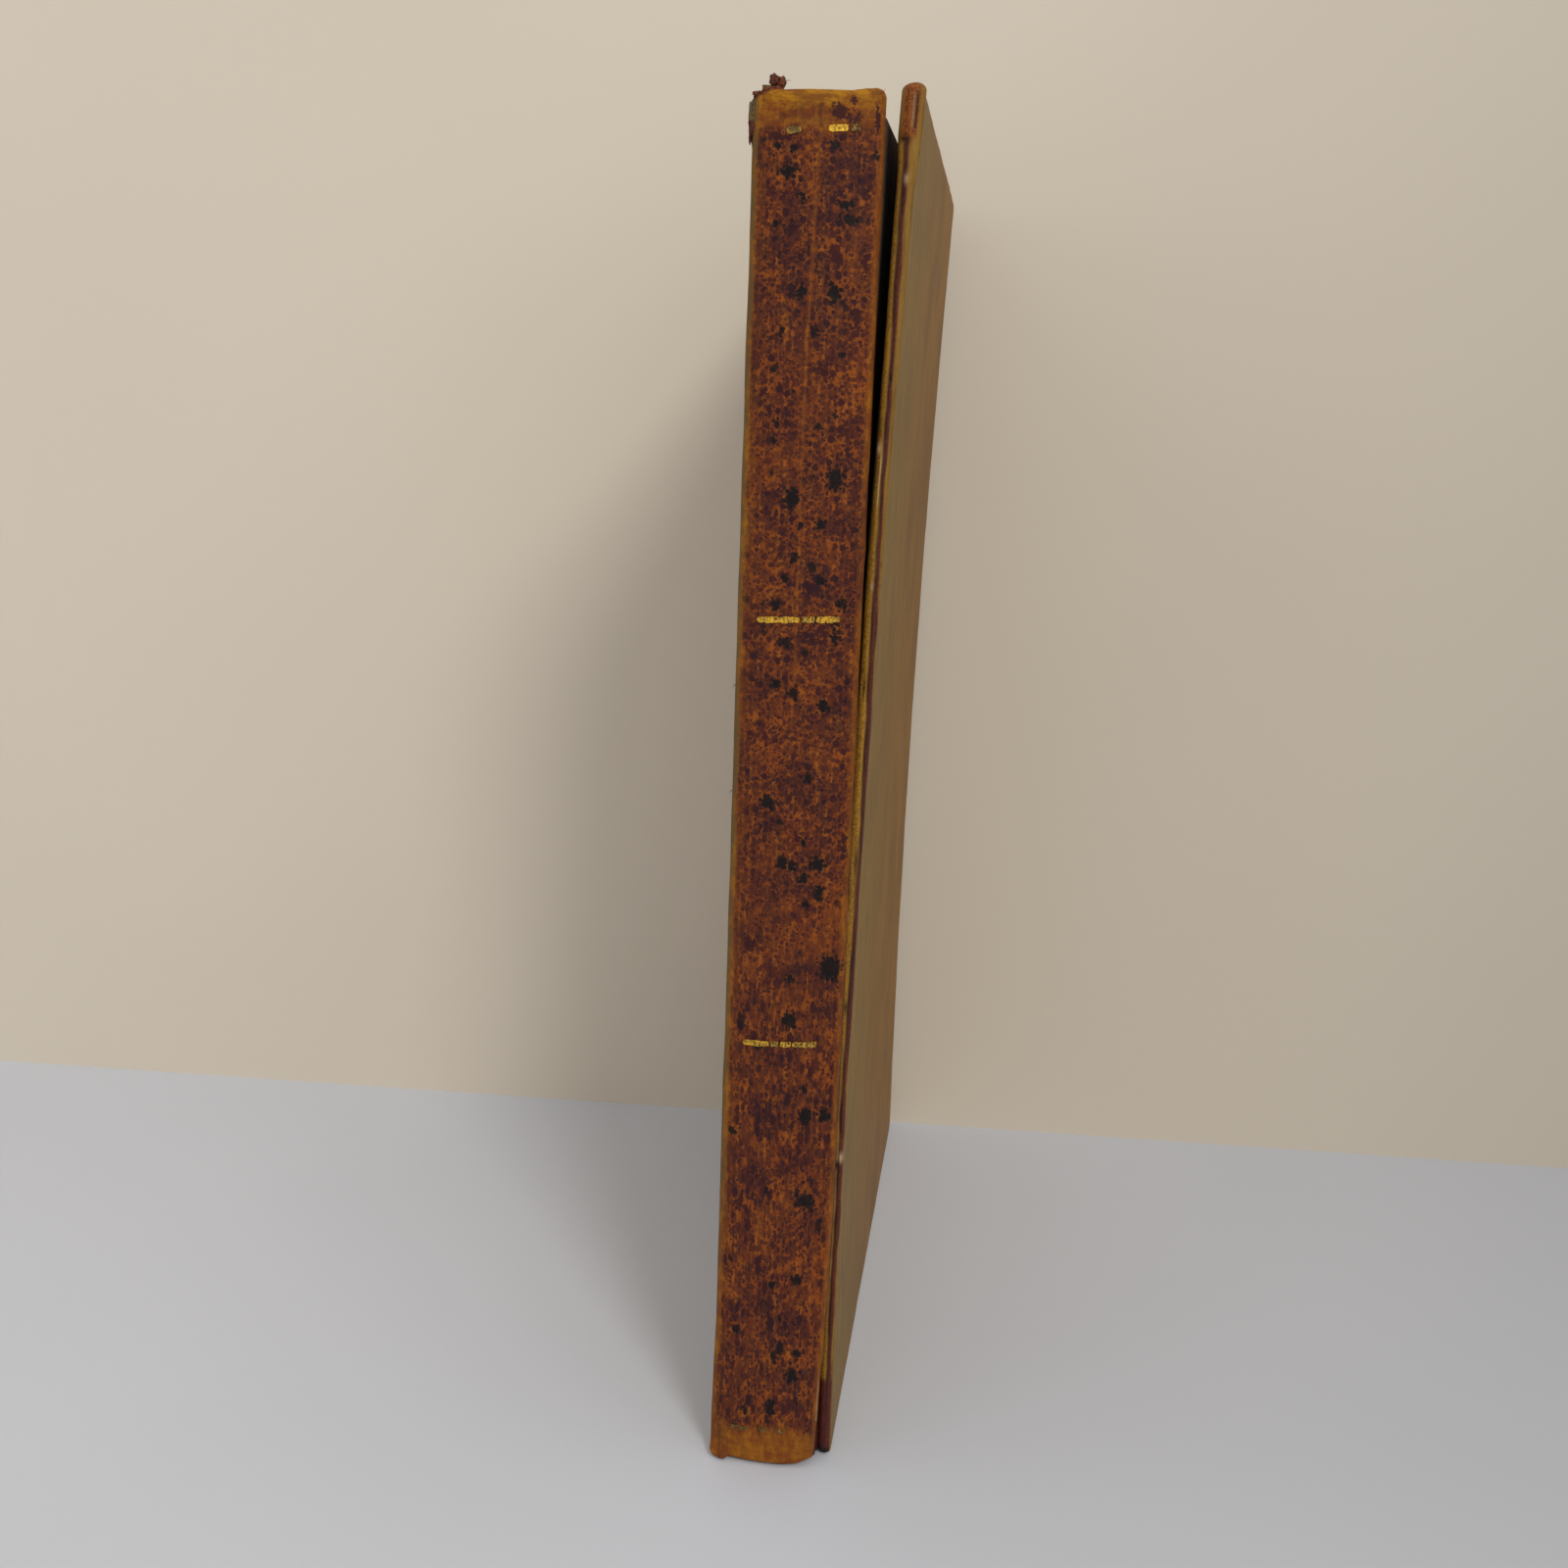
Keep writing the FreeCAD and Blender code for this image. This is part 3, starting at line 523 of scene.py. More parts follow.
    lump = uneven(points, 5, 20)
    fray = uneven(points, 1.6, 22)
    border = -7.55 + 0.25 * uneven(along, 9, 23)
    # Along the left edge the ochre is partly wear and partly a painted highlight on the ridge.
    wear_and_highlight = 0.9 * eased(x, border + 0.15, border - 0.25) * (0.85 + 0.3 * lump)
    wear_and_highlight = np.maximum(wear_and_highlight, 0.8 * eased(x, 7.5, 8.3) * (0.7 + 0.6 * lump))
    above = z + 0.7 * lump + 0.4 * fray
    wear_and_highlight = np.maximum(wear_and_highlight, 0.6 * eased(above, 192.9, 193.9) + 0.4 * eased(above, 195.4, 196.8))
    wear_and_highlight = np.maximum(wear_and_highlight, eased(z + 1.5 * lump + fray, 8.0, 4.0) * (0.85 + 0.3 * lump))
    wear_and_highlight = np.maximum(wear_and_highlight, 0.45 * eased(x, -5.8, -7.6) * (0.6 + 0.9 * lump))
    marked(made, "wear_and_highlight", np.clip(wear_and_highlight, 0, 1))
    # The olive along the left edge is partly a painted highlight.
    marked(made, "olive", eased(x, border + 0.1, border - 0.35) * eased(z, 10, 60))
    marked(made, "ink", blotches(x, z, ink_pools))
    marked(made, "purple", blotches(x, z, purple_clouds))
    crack_place = np.interp(z, (0, 60, 118, 136, 158, 191), (-0.3, -0.3, -0.2, 0.0, -0.2, 0.35))
    crack = np.exp(-((x - crack_place - 0.12 * uneven(points, 4, 21)) / 0.2) ** 2) * eased(z, 100, 128)
    marked(made, "crack", crack * eased(z, 192.5, 190))
    inside_edge = border + 0.55 + 0.12 * uneven(along, 3, 24)
    seam = np.exp(-((x - inside_edge) / 0.16) ** 2) * (0.55 + 0.5 * uneven(along, 6, 25))
    split = 1.2 * np.exp(-((x - 0.55 - 0.1 * fray) / 0.18) ** 2)
    seam = np.maximum(seam, split * eased(abs(z - 195), 1.7, 1.3))
    marked(made, "seam", np.clip(seam, 0, 1))
    torn = eased(x, -3.9, -4.8) * eased(z + 0.2 * fray, 197.0 + 0.25 * (x + 8), 197.5 + 0.25 * (x + 8))
    marked(made, "torn", np.clip(torn, 0, 1))
    marked(made, "cap", np.maximum(eased(z, 192, 193.5), 0.5 * eased(z, 7, 4)))
    rim = eased(z + 0.35 * lump + 0.15 * fray - head_line, 196.1, 196.8) * eased(abs(x), 8.2, 7.4)
    marked(made, "rim", rim)
    return made


class Calf(Finish):
    """Tan calf sprinkled with iron black. Low down the spots are drawn out along the spine."""

    def __init__(self, name, roughness):
        super().__init__(name, roughness=roughness, shine=0.16)
        self.hue = self.clouds(7, 3.0, 0.55)
        self.fibre = self.clouds(0.42, 2.0, 0.6, (1.0, 1.0, 0.07), 3.0)
        self.grain = self.clouds(0.3, 3.0, 0.65, None, 9.0)
        self.crowd = self.clouds(4.5, 3.0, 0.6, None, 30.0)
        self.low = (self.measure(2) + (self.hue - 0.5) * 30).between(105.0, 70.0)

    def both(self, kind, *values, **named):
        """The same spots or clouds twice: as they fell, and drawn out low down on the spine."""
        fallen = kind(*values, **named)
        drawn = kind(*values, **named, stretch=(1.15, 1.0, 0.5))
        return fallen * (1 - self.low) + drawn * self.low


calf = Calf("sprinkled_calf", 0.5)
wear_and_highlight, ink, crack = calf.marks("wear_and_highlight"), calf.marks("ink"), calf.marks("crack")
purple, seam, torn = calf.marks("purple"), calf.marks("seam"), calf.marks("torn")
tan = calf.coats(
    paint(140, 72, 20),
    (calf.hue.between(0.3, 0.7), paint(104, 48, 20)),
    (calf.fibre.between(0.5, 0.7) * 0.5, paint(164, 98, 28)),
    (crack * 0.7, paint(150, 84, 24)),
)
fine = calf.both(calf.spots, 0.62, 0.54, 0.34, shift=5.0).top(calf.spots(0.74, 0.52, 0.36, 15.0))
finer = calf.spots(0.42, 0.46, 0.5, 25.0)
middling = calf.both(calf.spots, 1.2, 0.5, 0.55, shift=50.0)
mottle = calf.both(calf.clouds, 1.0, 5.0, 0.68, shift=70.0).between(0.46, 0.53)
blurred = (calf.crowd + (calf.grain - 0.5) * 0.4).between(0.53, 0.66)
sprinkle = (fine * 0.85).top(middling * 0.95).top(finer * 0.6).top(mottle * 0.6)
sprinkle = sprinkle * (calf.crowd.between(0.25, 0.5) * 0.3 + 0.7) + blurred * 0.6 * (1 - sprinkle)
sprinkle = sprinkle * (1 - wear_and_highlight * 0.85) * (1 - crack * 0.45)
run_together = (purple + (calf.grain - 0.5) * 1.1 + (mottle - 0.5) * 0.4).between(0.3, 0.6)
sprinkle = sprinkle.top(run_together * 0.95)
dark_hue = calf.mixed(calf.hue.between(0.35, 0.65), paint(56, 19, 23), paint(38, 16, 26))
cap = calf.marks("cap")
rubbed = calf.clouds(1.6, 4.0, 0.65, (1.0, 1.0, 0.45), 15.0) * (1 - cap)
rubbed = rubbed + calf.clouds(1.3, 4.0, 0.7, (0.4, 1.0, 1.3), 21.0) * cap
ochre = calf.coats(
    paint(160, 104, 14),
    (rubbed.between(0.38, 0.6), paint(120, 62, 16)),
    ((calf.grain * 0.5 + calf.crowd * 0.5).between(0.52, 0.64) * 0.7, paint(82, 62, 28)),
)
yellow = calf.mixed(rubbed.between(0.42, 0.6), paint(176, 120, 14), paint(128, 80, 20))
pooled = (ink + (calf.grain - 0.5) * 1.0 + (fine - 0.5) * 0.3).between(0.2, 0.58)
stray = calf.both(calf.spots, 2.9, 0.26, 0.6, shift=90.0)
black = pooled.top(stray * 0.9 * (1 - wear_and_highlight))
dust = calf.spots(1.1, 0.08, 0.3, 33.0)
leather_colour = calf.coats(
    tan,
    (sprinkle, dark_hue),
    (wear_and_highlight * (1 - sprinkle), ochre),
    (calf.marks("rim") * (1 - sprinkle) * 0.8, yellow),
    (calf.marks("olive") * (rubbed.between(0.35, 0.6) * 0.5 + 0.35), paint(96, 80, 44)),
    (seam * 0.7, paint(70, 34, 26)),
    (torn * 0.85, paint(98, 38, 20)),
    (black * 0.95, paint(12, 10, 13)),
    (dust * black * 0.4, paint(150, 140, 120)),
)
calf.wear(Base_Color=leather_colour, Roughness=0.6 - black * 0.25 + (calf.grain - 0.5) * 0.2)
calf.relief(calf.grain * 0.6 + calf.fibre * 0.9 - sprinkle * 0.2 - black * 0.2, 0.12)
dressed(spine_leather(), calf, "book_block", "calf", "spine_leather")

# Gilt bands: gold leaf tooled across the spine in four single lines, rubbed away in places.
# It is laid over glair and pressed in with a hot pallet, so it lies a little below the calf.
gold = Finish("rubbed_gold_leaf", roughness=0.35)
leaf_wear = gold.clouds(0.28, 3.0, 0.7, (1.0, 1.0, 0.6))
# The brighter runs are partly a painted highlight, broken up by the rubbed leaf.
gilt_gleam = (gold.marks("gilt_gleam") * 0.8 + (leaf_wear - 0.5) * 2.6).between(0.2, 0.95)
gold_colour = gold.mixed(gilt_gleam, paint(92, 70, 14), paint(232, 178, 50))
gold.wear(Base_Color=gold_colour, Metallic=gilt_gleam * 0.6, Roughness=0.55 - gilt_gleam * 0.25)
gold.relief(leaf_wear, 0.1)
gilt_half, gilt_reach, gilt_sunk = 0.44, 7.0, 0.17
# Each run: where it starts and stops across, how much leaf it keeps, and how bright it is painted, partly as
# a highlight.
gilt_runs = {
    "gilt_band_1": ((-5.9, -2.9, 0.45, 0.1), (-1.0, 0.6, 0.4, 0.1), (1.6, 3.0, 0.5, 0.2)),
    "gilt_band_2": ((-5.6, -1.7, 0.95, 0.75), (-1.5, -0.3, 0.8, 0.5), (-0.1, 1.5, 0.9, 0.7),
                    (1.7, 5.2, 0.85, 0.6)),
    "gilt_band_3": ((-5.6, 0.3, 0.97, 0.8), (0.6, 2.4, 0.95, 0.6), (2.6, 5.8, 0.9, 0.75)),
    "gilt_band_4": ((-3.9, -1.9, 0.85, 0.3), (1.5, 4.1, 1.0, 1.0), (4.4, 5.6, 0.7, 0.25)),
}


def gilt_band(name, level, runs, seed):
    """Flakes of leaf that follow the spine's face, sunk along their edges."""
    across = np.arange(-gilt_reach, gilt_reach, 0.08)
    steps = np.linspace(-gilt_half, gilt_half, 12)
    middle = crown_radius - flat_depth - crown
    points, kept, shine = [], [], []
    for x in across:
        for step in steps:
            face = middle - math.sqrt(crown_radius ** 2 - x * x)
            sunk = 0.05 * (1 - (step / gilt_half) ** 2) + 0.02 * noise.noise(Vector((x * 2, step * 3, seed)))
            slanted = level + step * (1 + 0.2 * noise.noise(Vector((x, seed, 0)))) + gilt_slant * x
            points.append((x, face - gilt_sunk + sunk, slanted))
            shine.append(max([light for start, stop, keep, light in runs if start <= x <= stop], default=0))
    for column in range(len(across) - 1):
        x = across[column]
        for start, stop, keep, light in runs:
            end_gap = abs((x - (start + stop) / 2) / ((stop - start) / 2)) ** 5
            for row in range(len(steps) - 1):
                rim_gap = end_gap + abs(steps[row] / gilt_half) ** 4
                rubbed = noise.noise(Vector((x * 2.2, steps[row] * 3.5, seed * 3.0)))
                if rim_gap + 0.5 * rubbed < 0.95 and rubbed < keep - 0.45:
                    first = column * len(steps) + row
                    kept.append((first, first + 1, first + len(steps) + 1, first + len(steps)))
    used = sorted({number for face in kept for number in face})
    renamed = {number: place for place, number in enumerate(used)}
    faces = [tuple(renamed[number] for number in face) for face in kept]
    band = piece(name + "_leaf", [points[number] for number in used], faces)
    marked(band, "gilt_gleam", [shine[number] for number in used])
    thickness = band.modifiers.new("leaf", "SOLIDIFY")
    thickness.thickness = 0.00003
    thickness.offset = -1
    return band


for number, (name, level) in enumerate(gilt_levels.items(), start=1):
    dressed(gilt_band(name, level, gilt_runs[name], number), gold, "book_block", "gold_leaf", name)

# Boards: laminated pasteboard, grey-brown and splitting at the edge where the calf has torn.
# The front one leans out at its head and is bowed and a little twisted. The back one is flat.
cover_height, cover_width, half_pack = 200.0, 121.5, 1.05
board_inset, turn_in_width, turn_in_skin = 0.6, 14.0, 0.3
board_face = half_pack - leather_skin
front_foot, front_lean = 9.75 - half_pack, math.tan(math.radians(0.966))
front_bow, front_twist, back_place = 5.6, 0.8, -7.45


def front_middle(depth, level):
    """Where the middle of the front cover's thickness lies."""
    share = level / cover_height
    bowed = front_foot + front_lean * level - front_bow * share * (1 - share)
    return bowed - front_twist * share * depth / cover_width


def back_middle(depth, level):
    return 0 * level + back_place


def closed_sheet(rows, columns):
    """Faces of two such grids, one over the other, joined round their rim."""
    count = rows * columns
    rim = list(range(columns))
    rim += [row * columns + columns - 1 for row in range(1, rows)]
    rim += list(range(count - 2, count - columns - 1, -1))
    rim += [row * columns for row in range(rows - 2, 0, -1)]
    faces = quads(rows, columns) + quads(rows, columns, count)
    return faces + [(a, b, b + count, a + count) for a, b in zip(rim, rim[1:] + rim[:1])]


def cover_layer(name, middle, side, borders, low, high, sunk=0.0, rows=90, columns=50):
    """A flat layer of a cover between two distances from its middle. sunk lowers it inside the turn-ins."""
    joint, fore, tail, head = borders
    y, z = np.meshgrid(np.linspace(joint, fore, columns), np.linspace(tail, head, rows))
    y, z = y.ravel(), z.ravel()
    inset = np.minimum(np.minimum(y, cover_width - y), np.minimum(z, cover_height - z))
    drop = sunk * eased(inset, turn_in_width - 1, turn_in_width + 1.5)
    layers = [np.column_stack([middle(y, z) + side * (level + drop), y, z]) for level in (low, high)]
    return piece(name, np.concatenate(layers), closed_sheet(rows, columns))


pasteboard = Finish("old_pasteboard", roughness=0.9)
plies = pasteboard.clouds(0.35, 2.0, 0.5, (1.0, 0.08, 0.08))
board_hue = pasteboard.clouds(5, 3.0, 0.6)
board_colour = pasteboard.coats(
    paint(146, 104, 44),
    (plies.between(0.4, 0.65), paint(84, 58, 40)),
    (board_hue.between(0.45, 0.7) * 0.5, paint(150, 118, 62)),
)
pasteboard.wear(Base_Color=board_colour).relief(plies, 0.15)
lining_joint, lining_gap = 2.0, 4.0
lining_levels = -half_pack - 0.2, -half_pack - 0.05
slip_levels, slip_reach, slip_half, slip_skin = (35, 78, 121, 164), 8.0, 1.6, 0.12
covers = {"front": (front_middle, 1), "back": (back_middle, -1)}
for name, (middle, side) in covers.items():
    borders = (board_inset, cover_width - board_inset, board_inset, cover_height - board_inset)
    board = cover_layer(name + "_pasteboard", middle, side, borders, turn_in_skin - half_pack, board_face)
    dressed(board, pasteboard, name + "_cover", "pasteboard", name + "_board")
    borders = (lining_joint, cover_width - lining_gap, lining_gap, cover_height - lining_gap)
    lining = cover_layer(name + "_lining_paper", middle, side, borders, *lining_levels, turn_in_skin)
    dressed(lining, endpaper, name + "_cover", "endpaper", name + "_pastedown")
    for number, level in enumerate(slip_levels, start=1):
        borders = (1.1, slip_reach, level - slip_half, level + slip_half)
        slip = cover_layer(f"{name}_laced_slip_{number}", middle, side, borders,
                           board_face - slip_skin, board_face, rows=8, columns=12)
        dressed(slip, hemp, name + "_cover", "hemp_cord", f"{name}_slip_{number}")

# Cover leather: the same calf, polished on the outer side and turned in over the board's edges.
# The front cover is torn from the spine and shows its layers there. The back one still holds.
# Pits along the torn edge, painted dark as shade: place across, level, half width, half height, strength.
shaded_joint_pits = [(-0.5, 193.0, 0.4, 0.4, 1.2), (0.0, 163.0, 0.25, 0.6, 1.1), (0.0, 49.0, 0.4, 0.7, 1.2),
               (-0.3, 121.0, 0.2, 1.5, 0.9), (0.3, 96.0, 0.3, 2.5, 0.8), (0.1, 74.0, 0.3, 1.2, 0.9)]
joint_chips = [(-0.1, 188.1, 0.25, 0.6, 0.65), (-0.8, 153.8, 0.45, 0.7, 1.0), (0.65, 50.3, 0.35, 0.8, 0.9),
               (-0.2, 135.3, 0.2, 0.5, 0.7), (-0.5, 88.0, 0.3, 1.0, 0.5)]


def cover_leather(name, middle, side, corners):
    """One closed shell: outer side, rounded edges, turn-ins, and the side pasted to the board."""
    half, middle_inset = half_pack, cover_width / 2
    insets = (middle_inset, 54, 47, 40, 34, 28, 23, 18.5, 15, 12, 9.5, 7.5, 5.8, 4.4, 3.3, 2.4, 1.7, 1.3)
    rings = [(inset, half) for inset in insets]
    turns = np.linspace(math.pi / 2, -math.pi / 2, 23)
    rings += [(half - half * math.cos(turn), half * math.sin(turn)) for turn in turns]
    rings += [(inset, -half) for inset in (1.5, 2.5, 4, 6, 9, 12, turn_in_width)]
    shown = len(rings)
    rings += [(inset, turn_in_skin - half) for inset in (turn_in_width, 8, 3, board_inset)]
    rings += [(inset, board_face) for inset in (board_inset, 3, turn_in_width, 36, middle_inset)]
    along, across = np.linspace(0, 1, 420), np.linspace(0, 1, 80)
    bend = np.linspace(0, math.pi / 2, 8)[1:-1]
    edge_ways = np.array([(0, 1), (1, 0), (0, -1), (-1, 0)])
    stack = []
    for inset, level in rings:
        near, far, low, high = inset, cover_width - inset, inset, cover_height - inset
        corner_places = np.array([(near, low), (near, high), (far, high), (far, low)])
        cuts = [max(corner - inset, 0) for corner in corners]
        loop = []
        for turn in range(4):
            after = (turn + 1) % 4
            way, turned_way = edge_ways[turn], edge_ways[after]
            first = corner_places[turn] + way * cuts[turn]
            last = corner_places[after] - way * cuts[after]
            loop += [first + (last - first) * t for t in (along, across)[turn % 2]]
            loop += [last + cuts[after] * (way * math.sin(b) + turned_way * (1 - math.cos(b))) for b in bend]
        stack.append(np.column_stack([np.full(len(loop), level), np.array(loop)]))
    count = len(stack[0])
    level, y, z = np.concatenate(stack).T
    outside = np.repeat(np.arange(len(rings)) < shown, count).astype(float)
    flat = np.column_stack([0 * z, y, z])
    run = np.column_stack([0 * z, 0 * z, z])
    seed = 40 + side
    share = level / half

    # The layers at the spine edge: a pale strip, a groove painted dark as shade, and the red outer layer
    edge = eased(y, 1.7, 1.0) * outside * (side > 0)
    line_place = np.interp(z, (0, 16, 50, 100, 131, 177, 193), (0.0, 0.05, 0.3, 0.6, 0.2, -0.3, -0.5))
    line_place = line_place + 0.14 * uneven(run, 15, seed) + 0.1 * uneven(run, 3, seed + 1)
    below = eased(z, 193.4, 192.8)
    strip = edge * below * eased(share, line_place - 0.08, line_place - 0.3)
    red_width = 0.55 + 0.25 * uneven(run, 6, 44)
    red = edge * below * eased(share, line_place, line_place + 0.12)
    red = red * eased(share, line_place + red_width + 0.12, line_place + red_width)
    line_width = 0.13 + 0.09 * uneven(run, 5, seed + 2)
    line = np.exp(-((share - line_place) / line_width) ** 2) * (0.85 + 0.6 * uneven(run, 6, seed + 3))
    painted_edge_shade = edge * below * line
    painted_edge_shade = np.maximum(painted_edge_shade, edge * np.exp(-((share - 0.26) / 0.12) ** 2) * eased(abs(z - 196.3), 2.4, 1.9))
    painted_edge_shade = np.maximum(painted_edge_shade, edge * blotches(share, z, shaded_joint_pits))
    foot = edge * eased(z + uneven(flat, 2, 45), 14.0, 13.0) * eased(share, 0.95, 0.7)
    strip, painted_edge_shade, red = strip * (1 - foot), painted_edge_shade * (1 - 0.5 * foot), np.maximum(red, foot)
    # Painted shadow at the foot, where the cover meets the table.
    painted_edge_shade = np.maximum(painted_edge_shade, edge * eased(z, 2.2, 0.8) * eased(share, 0.9, 0.5))
    head_split = np.exp(-((share - 0.06) / 0.055) ** 2) * eased(abs(z - 196.5), 2.1, 1.9)
    low_split = np.exp(-((share + 0.3) / 0.07) ** 2) * eased(abs(z - 149.6), 3.6, 3.0)
    pale = edge * np.maximum(head_split * 0.9, low_split * 0.8)
    pale = np.maximum(pale, edge * blotches(share, z, joint_chips))
    head_calf = edge * (1 - below) * eased(share, -0.85, -0.6) * eased(share, 0.75, 0.35)

    # The back cover's worn corner shows bare board and swells past the cap
    back_only = outside * (side < 0)
    bare = eased(y, 7.0, 3.0) * eased(z + 0.8 * uneven(flat, 2, 46), 193.2, 193.8)
    bare = bare * back_only * eased(share, -1, 0)
    bulge = 0.62 * back_only * eased(y, 9.0, 2.5) * eased(z, 190.8, 191.8) * np.clip(share, 0, 1)

    y = y + outside * 0.09 * uneven(flat, 6, seed + 4) * (1 - 2 * y / cover_width)
    y = y + 0.28 * np.clip(painted_edge_shade, 0, 1) - 0.22 * np.clip(pale, 0, 1) + 0.12 * edge * uneven(run, 1.6, 47)
    z = z + outside * 0.14 * uneven(flat, 9, seed + 5) * (1 - 2 * z / cover_height)
    loaf = eased(y, 5.0, 1.0) * outside * (side > 0)
    inner_fat = 0.75 * eased(z, 189, 194) + 0.35 * eased(z, 160, 186) * eased(z, 194, 189)
    fat = loaf * np.where(level < 0, inner_fat, 0.35 * eased(z, 186, 195)) * abs(share)
    swell = 0.07 * uneven(flat, 17, seed + 6) + 0.035 * uneven(flat, 3.2, seed + 7)
    swell = (swell * abs(share) + bulge + fat) * outside * np.sign(share)
    leather = piece(name, np.column_stack([middle(y, z) + side * (level + swell), y, z]),
                    quads(len(rings), count, round_columns=True))
    border = np.minimum(flat[:, 1], cover_width - flat[:, 1])
    border = np.minimum(border, np.minimum(flat[:, 2], cover_height - flat[:, 2]))
    rub = eased(border + 1.2 * uneven(flat, 4, 48), 2.2, 0.4) * (0.7 + 0.6 * uneven(flat, 7, 49))
    marks = {"strip": strip, "red": red, "painted_edge_shade": painted_edge_shade, "pale": pale, "head_calf": head_calf,
             "bare": bare, "rub": rub * outside}
    for mark, values in marks.items():
        marked(leather, mark, np.clip(values, 0, 1))
    shape = bmesh.new()
    shape.from_mesh(leather.data)
    bmesh.ops.remove_doubles(shape, verts=shape.verts, dist=2e-6)
    bmesh.ops.recalc_face_normals(shape, faces=shape.faces)
    shape.to_mesh(leather.data)
    shape.free()
    return leather


polished = Calf("polished_calf", 0.45)
side_hue = polished.clouds(16, 4.0, 0.55)
streaks = polished.clouds(0.9, 4.0, 0.65, (1.0, 1.0, 0.08), 13.0)
side_fine = polished.spots(0.8, 0.34, 0.55, 5.0)
side_spots = polished.spots(2.1, 0.24, 0.5, 31.0)
near_joint = (polished.measure(1) + (side_hue - 0.5) * 24).between(15.0, -66.0)
hairs = polished.clouds(0.45, 3.0, 0.6, (1.0, 1.0, 0.09), 33.0).between(0.55, 0.62)
flaws = (polished.grain * 0.7 + streaks * 0.3).between(0.4, 0.6)
side_colour = polished.coats(
    paint(138, 96, 28),
    (side_hue.between(0.3, 0.7), paint(116, 80, 24)),
    # Painted sheen: the side turns greyer and more olive towards the joint.
    (near_joint * 0.8, paint(132, 103, 40)),
    (streaks.between(0.52, 0.6) * (near_joint * 0.45 + 0.1), paint(78, 58, 34)),
    (hairs * (near_joint * 0.4 + 0.05), paint(58, 42, 30)),
    # Lighter streaks near the joint, part of the same painted sheen.
    (streaks.between(0.46, 0.36) * near_joint * 0.4, paint(158, 128, 56)),
    ((side_fine * 0.3).top(side_spots * 0.45), paint(70, 44, 34)),
    (polished.marks("rub") * 0.5, paint(138, 98, 42)),
    (polished.marks("strip"), polished.mixed(flaws, paint(172, 124, 42), paint(120, 86, 36))),
    (polished.marks("head_calf"), polished.mixed(flaws, paint(146, 84, 30), paint(92, 44, 28))),
    (polished.marks("red"), polished.mixed(flaws, paint(98, 46, 30), paint(66, 32, 34))),
    (polished.marks("bare"), polished.mixed(flaws, paint(112, 98, 66), paint(60, 50, 38))),
    # Painted shade in the torn edge's groove and pits, and at its foot.
    (polished.marks("painted_edge_shade") * 0.95, paint(26, 14, 18)),
    (polished.marks("pale") * 0.8, paint(206, 182, 140)),
)
polished.wear(Base_Color=side_colour, Roughness=0.52 + (polished.grain - 0.5) * 0.3)
polished.relief(polished.grain * 0.5 + streaks * 0.7 - side_fine * 0.2, 0.1)
worn_corners = {"front": (1.0, 1.3, 3.2, 2.5), "back": (1.0, 7.5, 2.8, 2.5)}
for name, (middle, side) in covers.items():
    leather = cover_leather(name + "_side_calf", middle, side, worn_corners[name])
    dressed(leather, polished, name + "_cover", "calf", name + "_leather")

# Joints: the calf that bends between spine and cover. The back joint is whole.
# The front one holds only below the split, and its upper end is torn to a point.
split_level = 110.0


def joint_calf(name, low, high, path, torn_end):
    """A thin strip up the joint. path gives its points across at one level, from spine to cover."""
    rows = 170
    drawn_in = np.array([[0], [0], [1], [1], [1]])
    outer = []
    for level in np.linspace(low, high, rows):
        line = np.array(path(level))
        if torn_end:
            ragged = 0.5 + 0.5 * noise.noise(Vector((level * 0.9, 3.1, 0.0)))
            share = float(eased(level + 3 * ragged, high - 8, high))
            line = line + (line[1] - line) * share * drawn_in
        outer.append(np.column_stack([line, np.full(len(line), level)]))
    columns = len(outer[0])
    outer = np.concatenate(outer)
    outer[:, 1] -= 0.05 * uneven(outer, 2.5, 51)
    middle_line = np.array(path((low + high) / 2)).mean(axis=0)
    inward = np.array([-0.16 if middle_line[0] > 0 else 0.16, 0.1, 0.0])
    return piece(name, np.concatenate([outer, outer + inward]), closed_sheet(rows, columns))


def front_path(level):
    flank = spine_side - tail_narrowing * float(eased(level, 42, -4))
    edge = float(front_middle(0.0, level)) - 0.9
    on_spine = [(flank - 0.1, -1.3), (flank + 0.04, -0.75), (flank - 0.02, -0.2)]
    return on_spine + [((flank + edge) / 2, 0.15), (edge, 0.5)]


def back_path(level):
    return [(-8.5, -1.7), (-8.58, -0.8), (-8.42, -0.1), (-8.44, 0.7), (-8.6, 1.6)]


front_strip = joint_calf("front_joint_calf", 0.8, split_level, front_path, True)
marked(front_strip, "purple", np.full(len(front_strip.data.vertices), 0.75))
dressed(front_strip, calf, None, "calf")
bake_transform(front_strip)
back_strip = joint_calf("back_joint_calf", 0.6, 196.8, back_path, False)
# The back joint is painted ochre: partly wear, partly a painted highlight on its ridge.
marked(back_strip, "wear_and_highlight", np.full(len(back_strip.data.vertices), 0.8))
dressed(back_strip, calf, None, "calf")
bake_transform(back_strip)

# Torn cap: a strip of calf pulled up at the back end of the head cap, with a frayed tuft on it.
# The back cover's head corner swells beside it, and loose fibres stand off along the torn edges.
def lump(name, middle, size, seed):
    """A crumpled scrap of calf."""
    shape = bmesh.new()
    bmesh.ops.create_icosphere(shape, subdivisions=4, radius=1.0)
    points = np.array([corner.co for corner in shape.verts])
    faces = [[corner.index for corner in face.verts] for face in shape.faces]
    shape.free()
    rough = 1 + 0.4 * uneven(points * 1.6, 1, seed) + 0.25 * uneven(points * 5, 1, seed + 1)
    return piece(name, np.array(middle) + points * rough[:, None] * np.array(size), faces)


